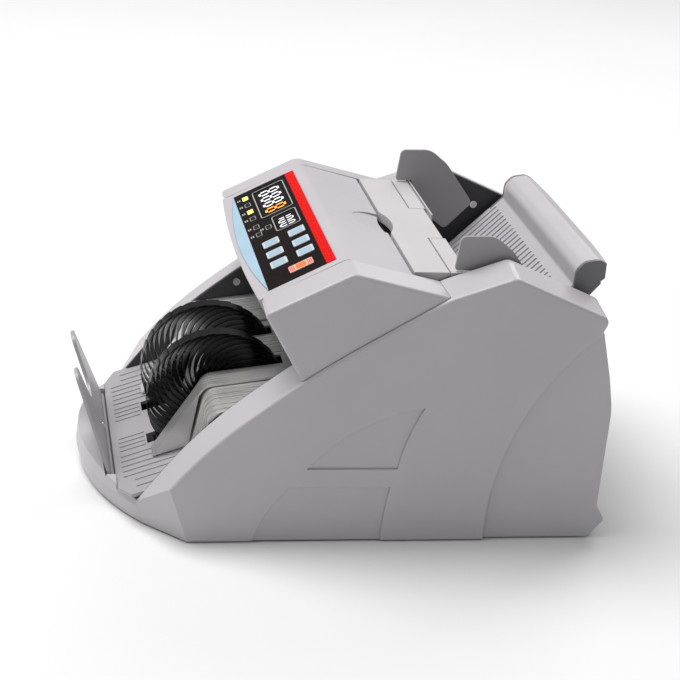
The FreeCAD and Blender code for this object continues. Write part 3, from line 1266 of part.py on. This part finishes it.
def power_inlet():
    """Three-pin mains inlet with its flange on the rear cover."""
    x, z, width, height = INLET
    face = back_y(z) + 0.9
    flange = box((x - width / 2 - 8, face, z - height / 2 - 3),
                 (x + width / 2 + 8, face + 1.8, z + height / 2 + 3))
    body = box((x - width / 2 + 0.4, face - 26.0, z - height / 2 + 0.4),
               (x + width / 2 - 0.4, face, z + height / 2 - 0.4))
    mouth = box((x - width / 2 + 3, face - 20.0, z - height / 2 + 3),
                (x + width / 2 - 3, face + 5, z + height / 2 - 3))
    pins = [box((x + dx - 1, face - 21.0, z + dz - 2), (x + dx + 1, face - 4.0, z + dz + 2))
            for dx, dz in ((-7, -2), (0, 3), (7, -2))]
    return joined([joined([flange, body]).cut(mouth)] + pins)


save(power_inlet(), "power_inlet")


def power_rocker():
    """Rocker of the mains switch, pivoted about a level axis across the machine."""
    x, z, width, height = ROCKER
    face = back_y(z)
    inset = 0.8
    pieces = side_block([(face - 9.0, z - 5.0), (face - 9.0, z + 5.0),
                         (face + 0.4, z + height / 2 - inset, 1.0),
                         (face + 1.9, z + height / 2 - inset - 1.0), (face + 0.9, z),
                         (face + 1.9, z - height / 2 + inset + 1.0), (face + 0.4, z - height / 2 + inset,
                                                                      1.0)],
                        x - width / 2 + inset, x + width / 2 - inset)
    pivots = rod(ROCKER_PIVOT, 2.0, x - width / 2 + GAP, x + width / 2 - GAP)
    return joined([pieces, pivots])


save(power_rocker(), "power_rocker")
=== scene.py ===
import json
import math

import bmesh
import bpy
from mathutils import Matrix, Vector


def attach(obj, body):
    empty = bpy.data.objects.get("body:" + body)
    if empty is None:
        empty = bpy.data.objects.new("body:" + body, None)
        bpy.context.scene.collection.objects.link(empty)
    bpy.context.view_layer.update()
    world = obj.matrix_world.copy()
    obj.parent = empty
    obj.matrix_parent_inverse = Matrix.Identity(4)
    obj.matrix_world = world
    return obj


# Looks of the banknote counting machine. Metres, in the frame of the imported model:
# +X the operator's right, -Y the front, +Z up. The covers, rollers and keys are the
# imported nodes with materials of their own. The printed and lit parts of the control
# panel, and small hardware, are meshes built here and placed from the nodes.

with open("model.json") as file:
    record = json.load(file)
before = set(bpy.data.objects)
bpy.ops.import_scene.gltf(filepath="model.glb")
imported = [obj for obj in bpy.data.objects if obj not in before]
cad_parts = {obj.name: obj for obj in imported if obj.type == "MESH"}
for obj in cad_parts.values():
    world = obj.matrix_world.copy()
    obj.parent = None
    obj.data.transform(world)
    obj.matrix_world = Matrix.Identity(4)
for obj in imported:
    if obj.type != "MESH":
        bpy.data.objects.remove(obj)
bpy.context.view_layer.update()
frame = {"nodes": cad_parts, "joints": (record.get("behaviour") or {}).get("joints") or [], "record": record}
nodes = frame["nodes"]
MM = 0.001


# ---- materials --------------------------------------------------------------------
class Finish:
    """A material under construction: adds nodes and joins them."""

    def __init__(self, name, roughness=0.5, **sockets):
        self.material = bpy.data.materials.new(name)
        self.material.use_nodes = True
        self.tree = self.material.node_tree
        self.shader = self.tree.nodes["Principled BSDF"]
        self.shader.inputs["Roughness"].default_value = roughness
        for socket, value in sockets.items():
            self.shader.inputs[socket.replace("_", " ")].default_value = value
        self.place = self.add("ShaderNodeTexCoord").outputs["Object"]

    def add(self, kind, **values):
        """New node; values set its properties, or its inputs by number when named i0, i1 and so on."""
        node = self.tree.nodes.new(kind)
        for key, value in values.items():
            if key[0] == "i" and key[1:].isdigit():
                socket = node.inputs[int(key[1:])]
                if isinstance(value, bpy.types.NodeSocket):
                    self.tree.links.new(value, socket)
                else:
                    socket.default_value = value
            else:
                setattr(node, key, value)
        return node

    def join(self, output, socket):
        self.tree.links.new(output, socket)

    def noise(self, scale, detail=3.0, stretch=(1.0, 1.0, 1.0)):
        """Noise with a feature size of about 1/scale metres, stretched per axis."""
        spread = self.add("ShaderNodeMapping", i0=self.place, i3=stretch)
        grain = self.add("ShaderNodeTexNoise", i0=spread.outputs[0])
        grain.inputs["Scale"].default_value = scale
        grain.inputs["Detail"].default_value = detail
        return grain.outputs[0]

    def span(self, value, low, high, from_low=0.3, from_high=0.7):
        """The value carried from one range to another."""
        return self.add("ShaderNodeMapRange", i0=value, i1=from_low, i2=from_high, i3=low, i4=high).outputs[0]

    def math(self, operation, first, second=0.0):
        return self.add("ShaderNodeMath", operation=operation, i0=first, i1=second).outputs[0]

    def mix(self, share, first, second):
        """Colour between two colours or colour outputs."""
        node = self.add("ShaderNodeMix", data_type="RGBA")
        for value, socket in ((share, node.inputs[0]), (first, node.inputs[6]), (second, node.inputs[7])):
            if isinstance(value, bpy.types.NodeSocket):
                self.join(value, socket)
            elif isinstance(value, tuple):
                socket.default_value = value + (1.0,)
            else:
                socket.default_value = value
        return node.outputs[2]

    def colour(self, output):
        self.join(output, self.shader.inputs["Base Color"])

    def rough(self, output):
        self.join(output, self.shader.inputs["Roughness"])

    def rounded(self, radius):
        """Normal with its edges rounded by radius, and how close a point is to such an edge."""
        bevel = self.add("ShaderNodeBevel", samples=4, i0=radius)
        flat = self.add("ShaderNodeNewGeometry").outputs["Normal"]
        same = self.add("ShaderNodeVectorMath", operation="DOT_PRODUCT", i0=bevel.outputs[0], i1=flat)
        return bevel.outputs[0], self.span(same.outputs["Value"], 1.0, 0.0, 0.86, 0.995)

    def bump(self, height, distance, normal=None, strength=0.5):
        node = self.add("ShaderNodeBump", i0=strength, i1=distance)
        self.join(height, node.inputs["Height"])
        if normal is not None:
            self.join(normal, node.inputs["Normal"])
        self.join(node.outputs[0], self.shader.inputs["Normal"])


def shade(colour, factor):
    return tuple(min(1.0, c * factor) for c in colour)


def moulded(name, colour, roughness=0.42, grain=1400.0, relief=0.00003, edge=0.0006, edge_highlight=1.14, **sockets):
    """Moulded plastic: fine spark-eroded grain, faint flow marks, and soft edges painted lighter in patches
    as a highlight.
    """
    f = Finish(name, roughness, **sockets)
    cloud = f.noise(14.0, 4.0)
    flow = f.noise(60.0, 2.0, (0.3, 1.0, 1.0))
    base = f.mix(f.span(cloud, 0.0, 1.0), shade(colour, 0.965), shade(colour, 1.03))
    base = f.mix(f.span(flow, 0.0, 0.25), base, shade(colour, 0.94))
    normal, near_edge = f.rounded(edge)
    # Painted highlight: patches along the edges are made lighter, standing in for light caught on the rounded
    # edges.
    highlight_share = f.math("MULTIPLY", near_edge, f.span(f.noise(240.0, 4.0), 0.15, 0.8))
    f.colour(f.mix(highlight_share, base, shade(colour, edge_highlight)))
    grains = f.noise(grain, 3.0)
    f.rough(f.math("ADD", f.span(grains, roughness - 0.05, roughness + 0.06), f.span(cloud, -0.03, 0.03)))
    f.bump(grains, relief, normal)
    return f.material


def brushed(name, colour, roughness=0.3, along=(0.02, 1.0, 1.0), lines=2600.0, **sockets):
    """Drawn or brushed metal: fine lines along the stretched axes, faint smudges."""
    f = Finish(name, roughness, **{"Metallic": 1.0, **sockets})
    hair = f.noise(lines, 2.0, along)
    smudge = f.noise(38.0, 3.0)
    base = f.mix(f.span(hair, 0.0, 1.0), shade(colour, 0.82), shade(colour, 1.12))
    f.colour(f.mix(f.span(smudge, 0.0, 0.3), base, shade(colour, 0.85)))
    f.rough(f.math("ADD", f.span(hair, roughness - 0.07, roughness + 0.1), f.span(smudge, -0.03, 0.06)))
    normal, _ = f.rounded(0.0002)
    f.bump(hair, 0.00001, normal, 0.35)
    return f.material


def coated(name, colour, roughness=0.5, **sockets):
    """Coated sheet steel: slight orange peel and a few lighter rubbed places."""
    f = Finish(name, roughness, **sockets)
    peel = f.noise(520.0, 2.0)
    rubbed = f.noise(55.0, 6.0, (1.0, 0.25, 1.0))
    base = f.mix(f.span(f.noise(12.0), 0.0, 1.0), shade(colour, 0.88), shade(colour, 1.1))
    f.colour(f.mix(f.span(rubbed, 0.0, 0.35, 0.55, 0.8), base, shade(colour, 1.5)))
    f.rough(f.span(peel, roughness - 0.06, roughness + 0.08))
    normal, _ = f.rounded(0.0003)
    f.bump(peel, 0.00003, normal, 0.4)
    return f.material


def rubber(name, colour, roughness=0.45, dust=(0.2, 0.19, 0.18), dusty=0.2, **sockets):
    """Rubber: satin skin with fine pits and a little paper dust."""
    f = Finish(name, roughness, **sockets)
    pits = f.noise(1900.0, 4.0)
    settled = f.noise(90.0, 5.0)
    base = f.mix(f.span(pits, 0.0, 1.0), shade(colour, 0.8), shade(colour, 1.25))
    f.colour(f.mix(f.span(settled, 0.0, dusty, 0.5, 0.75), base, dust))
    f.rough(f.math("ADD", f.span(pits, roughness - 0.06, roughness + 0.08), f.span(settled, -0.04, 0.1)))
    normal, _ = f.rounded(0.0002)
    f.bump(pits, 0.00004, normal, 0.5)
    return f.material


def board(name, colour):
    """Circuit board: lacquer over faint tracks."""
    f = Finish(name, 0.35)
    tracks = f.add("ShaderNodeTexBrick", i0=f.place, i1=shade(colour, 1.5) + (1.0,), i2=colour + (1.0,))
    tracks.inputs["Scale"].default_value = 160.0
    f.colour(f.mix(f.span(f.noise(50.0), 0.2, 0.7), tracks.outputs[0], colour))
    f.rough(f.span(f.noise(700.0), 0.28, 0.42))
    f.bump(tracks.outputs["Fac"], 0.00003)
    return f.material


def lit(name, colour, strength, cells=900.0):
    """Light-emitting face behind a thin diffuser."""
    f = Finish(name, 0.3, Emission_Strength=strength)
    glow = f.mix(f.span(f.noise(cells, 2.0), 0.0, 1.0), shade(colour, 0.85), colour)
    f.colour(glow)
    f.join(glow, f.shader.inputs["Emission Color"])
    f.rough(f.span(f.noise(600.0), 0.25, 0.4))
    f.bump(f.noise(1500.0), 0.00001)
    return f.material


# ---- panel coordinates ------------------------------------------------------------
FRONT_SLOPE = 0.526         # rise over run of the panel slope
slope = math.atan(FRONT_SLOPE)
DOWN = Vector((0.0, -math.cos(slope), -math.sin(slope)))
OUT = Vector((0.0, -math.sin(slope), math.cos(slope)))
overlay_points = [v.co for v in nodes["panel_overlay"].data.vertices]
OVERLAY_U = min(p.dot(DOWN) for p in overlay_points)       # upper edge of the printed film
OVERLAY_H = max(p.dot(OUT) for p in overlay_points)        # its face
WELD_PER_METRE = 1e5        # points this finely rounded alike count as one
FLAT = 0.02 * MM            # how far below the highest point a flat top may lie


def on_panel(x, u, height):
    """Point on the panel: u down from the film's upper edge, height above its face."""
    return Vector((x, 0.0, 0.0)) + DOWN * (OVERLAY_U + u) + OUT * (OVERLAY_H + height)


def faces_on_panel(name):
    """(x low, x high, u low, u high, height) of each separate flat top of a node under the panel."""
    mesh = nodes[name].data
    places = [v.co for v in mesh.vertices]
    top = max(p.dot(OUT) for p in places)
    key = [tuple(round(c * WELD_PER_METRE) for c in p) for p in places]
    group = {key[i]: key[i] for i, p in enumerate(places) if p.dot(OUT) > top - FLAT}

    def root(k):
        while group[k] != k:
            k = group[k]
        return k

    for polygon in mesh.polygons:
        corners = [key[i] for i in polygon.vertices if key[i] in group]
        if len(corners) == len(polygon.vertices):
            for corner in corners[1:]:
                group[root(corner)] = root(corners[0])
    islands = {}
    for i, k in enumerate(key):
        if k in group:
            islands.setdefault(root(k), []).append(places[i])
    spans = []
    for points in islands.values():
        across = [p.x for p in points]
        down = [p.dot(DOWN) - OVERLAY_U for p in points]
        spans.append((min(across), max(across), min(down), max(down), top - OVERLAY_H))
    return sorted(spans)


# ---- meshes on the panel ----------------------------------------------------------
def linked(name, data):
    """New object holding data, linked to the scene."""
    item = bpy.data.objects.new(name, data)
    bpy.context.scene.collection.objects.link(item)
    return item


def mesh_from(bm, name, smooth=False):
    """Mesh from a bmesh, which is freed."""
    mesh = bpy.data.meshes.new(name)
    bm.to_mesh(mesh)
    bm.free()
    if smooth:
        for polygon in mesh.polygons:
            polygon.use_smooth = True
    return mesh


def band_faces(bm, first, second):
    """Ring of faces between two closed loops of equal point count."""
    count = len(first)
    for i in range(count):
        j = (i + 1) % count
        bm.faces.new((first[i], first[j], second[j], second[i]))


def middle_and_size(span):
    """Centre and size, both (x, u), of a span from faces_on_panel."""
    x_low, x_high, u_low, u_high = span[:4]
    return ((x_low + x_high) / 2, (u_low + u_high) / 2), (x_high - x_low, u_high - u_low)


def as_object(name, mesh, body, material):
    """Object from a finished mesh, riding on a body."""
    piece = linked(name, mesh)
    mesh.materials.append(material)
    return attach(piece, body)


def rounded_outline(x, u, width, height, radius, steps=5):
    """Corner points of a rounded rectangle in panel coordinates."""
    points = []
    for sx, su, start in ((1, 1, 0.0), (-1, 1, 90.0), (-1, -1, 180.0), (1, -1, 270.0)):
        cx, cu = x + sx * (width / 2 - radius), u + su * (height / 2 - radius)
        for i in range(steps + 1):
            a = math.radians(start + 90.0 * i / steps)
            points.append((cx + radius * math.cos(a), cu + radius * math.sin(a)))
    return points


def add_plate(bm, outline, low, high, soft=0.3):
    """Plate on the panel with a softened upper edge; soft is that share of its thickness."""
    cx = sum(p[0] for p in outline) / len(outline)
    cu = sum(p[1] for p in outline) / len(outline)
    inset = (high - low) * soft
    rings = []
    for height, draw_in in ((low, 0.0), (high - inset, 0.0), (high, inset)):
        ring = []
        for x, u in outline:
            reach = math.hypot(x - cx, u - cu)
            keep = 1.0 - draw_in / reach
            ring.append(bm.verts.new(on_panel(cx + (x - cx) * keep, cu + (u - cu) * keep, height)))
        rings.append(ring)
    for lower, upper in zip(rings, rings[1:]):
        band_faces(bm, lower, upper)
    bm.faces.new(rings[-1])
    bm.faces.new(rings[0][::-1])


def add_ring(bm, outer, inner, low, high):
    """Flat frame on the panel between two outlines of equal point count."""
    loops = []
    for outline, height in ((outer, low), (outer, high), (inner, high), (inner, low)):
        loops.append([bm.verts.new(on_panel(x, u, height)) for x, u in outline])
    for first, second in zip(loops, loops[1:] + loops[:1]):
        band_faces(bm, first, second)


def panel_mesh(name, build):
    """Mesh filled by build(bm)."""
    bm = bmesh.new()
    build(bm)
    bmesh.ops.recalc_face_normals(bm, faces=bm.faces)
    return mesh_from(bm, name)


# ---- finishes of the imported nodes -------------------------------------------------
FINISHES = {
    # In moulded finishes, the factor after the edge radius paints the edges that much lighter, a painted
    # highlight.
    "body_plastic": moulded("body_plastic", (0.53, 0.505, 0.53), 0.34, edge_highlight=1.3, edge=0.0009),
    "light_plastic": moulded("light_plastic", (0.6, 0.575, 0.58), 0.34),
    "dark_plastic": moulded("dark_plastic", (0.17, 0.165, 0.175), 0.4),
    "grey_plastic": moulded("grey_plastic", (0.4, 0.385, 0.405), 0.33),
    "frame_steel": coated("frame_steel", (0.06, 0.057, 0.062), 0.5, Specular_IOR_Level=0.3),
    "bright_steel": brushed("bright_steel", (0.8, 0.79, 0.78), 0.3, (1.0, 0.001, 0.001), 700.0, Metallic=0.8),
    "shaft_steel": brushed("shaft_steel", (0.72, 0.72, 0.74), 0.22),
    "black_rubber": rubber("black_rubber", (0.003, 0.003, 0.003), 0.3, dusty=0.006, Specular_IOR_Level=0.18),
    "roller_rubber": rubber("roller_rubber", (0.2, 0.18, 0.16), 0.6),
    "display_dark": moulded("display_dark", (0.006, 0.004, 0.004), 0.3, 2200.0, 0.00001,
                            Specular_IOR_Level=0.1),
    "lamp_lens": moulded("lamp_lens", (0.012, 0.01, 0.01), 0.3, 2200.0, 0.00001, Specular_IOR_Level=0.1),
    "key_blue": moulded("key_blue", (0.6, 0.64, 0.68), 0.36, 1800.0, 0.00001, 0.0004, 1.05),
    "key_orange": moulded("key_orange", (0.86, 0.5, 0.42), 0.36, 1800.0, 0.00001, 0.0004, 1.05),
    "board_green": board("board_green", (0.02, 0.12, 0.05)),
    "black_plastic": moulded("black_plastic", (0.02, 0.02, 0.022), 0.42),
    "bush_brass": brushed("bush_brass", (0.6, 0.42, 0.2), 0.35),
    "motor_metal": brushed("motor_metal", (0.4, 0.41, 0.43), 0.42),
}


def printed_film():
    """The panel film: red band along the top, light blue field below, black between."""
    band, field_start = 6.4 * MM, 46.9 * MM
    f = Finish("panel_black", 0.4, Specular_IOR_Level=0.05)
    along = f.add("ShaderNodeVectorMath", operation="DOT_PRODUCT", i0=f.place, i1=DOWN)
    u = f.math("SUBTRACT", along.outputs["Value"], OVERLAY_U)
    ink = f.noise(700.0, 3.0)
    black = f.mix(f.span(ink, 0.0, 1.0), (0.007, 0.004, 0.004), (0.011, 0.007, 0.006))
    red = f.mix(f.span(ink, 0.0, 1.0), (0.66, 0.004, 0.003), (0.74, 0.008, 0.005))
    blue = f.mix(f.span(f.noise(30.0), 0.0, 1.0), (0.36, 0.51, 0.62), (0.41, 0.56, 0.67))
    colour = f.mix(f.math("LESS_THAN", u, band), black, red)
    f.colour(f.mix(f.math("GREATER_THAN", u, field_start), colour, blue))
    f.rough(f.span(ink, 0.24, 0.38))
    normal, _ = f.rounded(0.0002)
    f.bump(ink, 0.00001, normal, 0.3)
    return f.material


FINISHES["panel_black"] = printed_film()
STACKER_FLOOR = moulded("floor_plastic", (0.4, 0.385, 0.405), 0.34)
slot_of = {part["node"]: part["material_slot"] for part in frame["record"]["subparts"]}
for name, node in nodes.items():
    node.data.materials.clear()
    node.data.materials.append(STACKER_FLOOR if name == "stacker_floor" else FINISHES[slot_of[name]])

white_ink = moulded("white_ink", (0.5, 0.49, 0.49), 0.4, 1800.0, 0.00001)
blue_face = moulded("blue_face", (0.38, 0.53, 0.64), 0.32, 1800.0, 0.00001, 0.0003, 1.05)
orange_face = moulded("orange_face", (0.86, 0.2, 0.03), 0.32, 1800.0, 0.00001, 0.0003, 1.05)
red_stripe = moulded("red_stripe", (0.8, 0.06, 0.04), 0.34, 1800.0, 0.00001, 0.0002, 1.05)
white_light = lit("white_light", (0.95, 0.95, 1.0), 0.9)
orange_light = lit("orange_light", (1.0, 0.33, 0.04), 1.5)
yellow_light = lit("yellow_light", (0.85, 0.9, 0.2), 0.9)


# ---- displays ---------------------------------------------------------------------
SEGMENTS = {                # segments of a digit: top, two upper, middle, two lower, bottom
    "0": "abcdef", "1": "bc", "8": "abcdefg",
}
INK = 0.16 * MM             # how far inks, frames and lit faces stand up
DIGIT_SHARE = 0.74          # height of a digit over that of its window
FRAME_ROOM = 1.6 * MM       # how much larger than a window its printed frame is


def digit_plates(bm, digit, x, u, width, height, bar, base):
    """Seven-segment digit centred at (x, u)."""
    half_w, half_h = width / 2 - bar / 2, height / 2 - bar / 2
    long_w, long_h = width - 2.2 * bar, height / 2 - 1.6 * bar
    layout = {"a": (0, -half_h, 1), "g": (0, 0, 1), "d": (0, half_h, 1),
              "f": (-half_w, -half_h / 2, 0), "b": (half_w, -half_h / 2, 0),
              "e": (-half_w, half_h / 2, 0), "c": (half_w, half_h / 2, 0)}
    for segment in SEGMENTS[digit]:
        dx, du, lies = layout[segment]
        size = (long_w, bar) if lies else (bar, long_h)
        outline = rounded_outline(x + dx, u + du, size[0], size[1], bar * 0.45, 3)
        add_plate(bm, outline, base, base + INK)


def display(name, span, digits, lights, width_share, bar):
    """Lit digits and a white printed frame for one display window."""
    centre, (width, depth) = middle_and_size(span)
    height = span[4]
    pitch = width * 0.9 / len(digits)
    first = centre[0] - pitch * (len(digits) - 1) / 2
    for light in sorted(set(lights)):
        chosen = [i for i, wanted in enumerate(lights) if wanted == light]

        def build(bm, chosen=chosen):
            for i in chosen:
                digit_plates(bm, digits[i], first + pitch * i, centre[1],
                             pitch * width_share, depth * DIGIT_SHARE, bar, height)

        material = {"white": white_light, "orange": orange_light}[light]
        as_object(name + "_digits_" + light, panel_mesh(name, build), "chassis", material)
    line, corner = 0.75 * MM, 1.6 * MM
    size = (width + FRAME_ROOM, depth + FRAME_ROOM)

    def build_frame(bm):
        outer = rounded_outline(*centre, size[0] + 2 * line, size[1] + 2 * line, corner + line)
        inner = rounded_outline(*centre, *size, corner)
        add_ring(bm, outer, inner, 0.0, INK)

    mesh = panel_mesh(name + "_frame", build_frame)
    as_object(name + "_frame", mesh, "chassis", white_ink)


count_span, batch_span = faces_on_panel("segment_displays")
display("count", count_span, "8888", ["white"] * 3 + ["orange"], 0.68, 1.7 * MM)
display("batch", batch_span, "100", ["white"] * 3, 0.66, 1.0 * MM)


# ---- indicator lamps --------------------------------------------------------------
def lamps():
    """Lit faces, outlines of the unlit lamps and a small printed mark beside each."""
    spans = faces_on_panel("status_lamps")
    lit_lamps = (0, 2)

    def faces(bm):
        for i in lit_lamps:
            centre, size = middle_and_size(spans[i])
            height = spans[i][4]
            add_plate(bm, rounded_outline(*centre, *size, 0.5 * MM), height, height + INK)

    def outlines(bm):
        line = 0.45 * MM
        for i, span in enumerate(spans):
            centre, size = middle_and_size(span)
            u_high, height = span[3:]
            if i not in lit_lamps:
                outer = rounded_outline(*centre, *size, 0.7 * MM)
                inner = rounded_outline(*centre, size[0] - 2 * line, size[1] - 2 * line, 0.4 * MM)
                add_ring(bm, outer, inner, height, height + INK)
            for step in (0.0, 1.5 * MM):
                u = u_high + 2.0 * MM + step
                mark = rounded_outline(centre[0], u, size[0] * 0.45, 0.9 * MM, 0.3 * MM, 2)
                add_plate(bm, mark, 0.0, INK)

    as_object("lamps_lit", panel_mesh("lamps_lit", faces), "chassis", yellow_light)
    as_object("lamp_outlines", panel_mesh("lamp_outlines", outlines), "chassis", white_ink)


lamps()


# ---- key faces --------------------------------------------------------------------
def key_faces():
    """Coloured inset on each key cap, riding on the key."""
    for name in sorted(n for n in nodes if n.startswith("key_")):
        span = faces_on_panel(name)[0]
        centre, size = middle_and_size(span)
        height = span[4]
        starts = slot_of[name] == "key_orange"
        share = 0.42 if starts else 0.74
        material = orange_face if starts else blue_face

        def inset(bm):
            outline = rounded_outline(*centre, size[0] * 0.72, size[1] * share, 0.9 * MM)
            add_plate(bm, outline, height, height + INK)

        as_object(name + "_face", panel_mesh(name + "_face", inset), name, material)
        if starts:

            def bars(bm):
                for side in (-1, 1):
                    for row in (0.3, 0.37, 0.44):
                        u = centre[1] + side * row * size[1]
                        outline = rounded_outline(centre[0], u, size[0] * 0.74, 0.6 * MM, 0.25 * MM, 2)
                        add_plate(bm, outline, height, height + INK)

            as_object(name + "_bars", panel_mesh(name + "_bars", bars), name, red_stripe)


key_faces()


# ---- stop plate screw -------------------------------------------------------------
def lathe(name, profile, centre, axis, steps=28):
    """Mesh turned about axis through centre from (radius, height) points."""
    bm = bmesh.new()
    turn = Vector((0, 0, 1)).rotation_difference(axis.normalized()).to_matrix()
    rings = []
    for radius, height in profile:
        ring = []
        for i in range(steps):
            a = 2 * math.pi * i / steps
            place = Vector((radius * math.cos(a), radius * math.sin(a), height))
            ring.append(bm.verts.new(centre + turn @ place))
        rings.append(ring)
    for lower, upper in zip(rings, rings[1:]):
        band_faces(bm, lower, upper)
    bm.faces.new(rings[0][::-1])
    bm.faces.new(rings[-1])
    return mesh_from(bm, name, smooth=True)


def stop_plate_screw():
    """Domed bright screw near the foot of the stop plate, on its inner face."""
    up_share, radius = 0.13, 2.6 * MM
    points = [v.co for v in nodes["stop_plate"].data.vertices]
    hinge = next(j for j in frame["joints"] if j["name"] == "stop_plate_fold")["pos_m"]
    tip = max(points, key=lambda p: p.z)
    lean = math.atan2(hinge[1] - tip.y, tip.z - hinge[2])
    up, inward = Vector((0, -math.sin(lean), math.cos(lean))), Vector((0, math.cos(lean), math.sin(lean)))
    pivot = Vector(hinge)
    length = max((p - pivot).dot(up) for p in points)
    face = max((p - pivot).dot(inward) for p in points if (p - pivot).dot(up) > length * 0.5)
    centre = pivot + up * length * up_share + inward * (face - 0.1 * MM)
    dome = [(radius, 0.0), (radius, 0.5 * MM), (radius * 0.93, 0.95 * MM), (radius * 0.75, 1.4 * MM),
            (radius * 0.45, 1.7 * MM), (radius * 0.2, 1.75 * MM), (radius * 0.14, 1.1 * MM)]
    mesh = lathe("stop_plate_screw", dome, centre, inward)
    as_object("stop_plate_screw", mesh, "stop_plate", FINISHES["shaft_steel"])


stop_plate_screw()


# ---- floor, light and camera ------------------------------------------------------
CAMERA_PLACE = (1.2085, -0.2296, 0.5692)
CAMERA_BACK = (0.9139, -0.1821, 0.3628)     # from the machine to the camera
CAMERA_TURN = 78.729        # degrees from +X to the level axis of the picture
CAMERA_ROLL = -4.706        # degrees the picture leans
CAMERA_LENS = 100.6         # millimetres
CAMERA_SENSOR = 36.0        # millimetres
LIGHT_AIM = (0.0, 0.0, 0.1)
WORLD_STRENGTH = 0.3


def floor():
    """Pale floor, curved up far behind the machine."""
    reach, rise, steps = 9.0, 3.0, 12
    bm = bmesh.new()
    path = [(reach, 0.0), (-reach * 0.5, 0.0)]
    for i in range(1, steps + 1):
        a = math.radians(90.0 * i / steps)
        path.append((-reach * 0.5 - rise * math.sin(a), rise * (1.0 - math.cos(a))))
    rows = [[bm.verts.new((x, y, z)) for y in (-reach, reach)] for x, z in path]
    for near, far in zip(rows, rows[1:]):
        bm.faces.new((near[0], near[1], far[1], far[0]))
    mesh = mesh_from(bm, "floor", smooth=True)
    f = Finish("floor", 0.6)
    f.colour(f.mix(f.span(f.noise(3.0), 0.0, 1.0), (0.86, 0.86, 0.86), (0.88, 0.88, 0.88)))
    mesh.materials.append(f.material)
    linked("floor", mesh)


def area_light(name, place, aim, size, power):
    """Square soft box aimed at a point."""
    data = bpy.data.lights.new(name, "AREA")
    data.size = size
    data.energy = power
    lamp = linked(name, data)
    lamp.location = place
    lamp.rotation_euler = (Vector(aim) - Vector(place)).to_track_quat("-Z", "Y").to_euler()


def camera():
    """Camera from the machine's right, a little to its front, tilted with the picture."""
    azimuth, roll = math.radians(CAMERA_TURN), math.radians(CAMERA_ROLL)
    back = Vector(CAMERA_BACK).normalized()
    level = Vector((math.cos(azimuth), math.sin(azimuth), 0.0))
    upright = back.cross(level)
    right = math.cos(roll) * level - math.sin(roll) * upright
    up = math.sin(roll) * level + math.cos(roll) * upright
    data = bpy.data.cameras.new("camera")
    data.lens = CAMERA_LENS
    data.sensor_width = CAMERA_SENSOR
    view = linked("camera", data)
    place = Vector(CAMERA_PLACE)
    view.matrix_world = Matrix(((right.x, up.x, back.x, place.x), (right.y, up.y, back.y, place.y),
                                (right.z, up.z, back.z, place.z), (0.0, 0.0, 0.0, 1.0)))
    bpy.context.scene.camera = view


floor()
area_light("key_light", (-0.5, -0.9, 2.4), LIGHT_AIM, 1.8, 68.0)
area_light("rim_light", (-1.6, 1.2, 1.6), LIGHT_AIM, 1.2, 14.0)
camera()
world = bpy.data.worlds.new("studio")
world.use_nodes = True
background = world.node_tree.nodes["Background"]
background.inputs["Color"].default_value = (1.0, 1.0, 1.0, 1.0)
background.inputs["Strength"].default_value = WORLD_STRENGTH
bpy.context.scene.world = world
bpy.context.scene.view_settings.view_transform = "Standard"
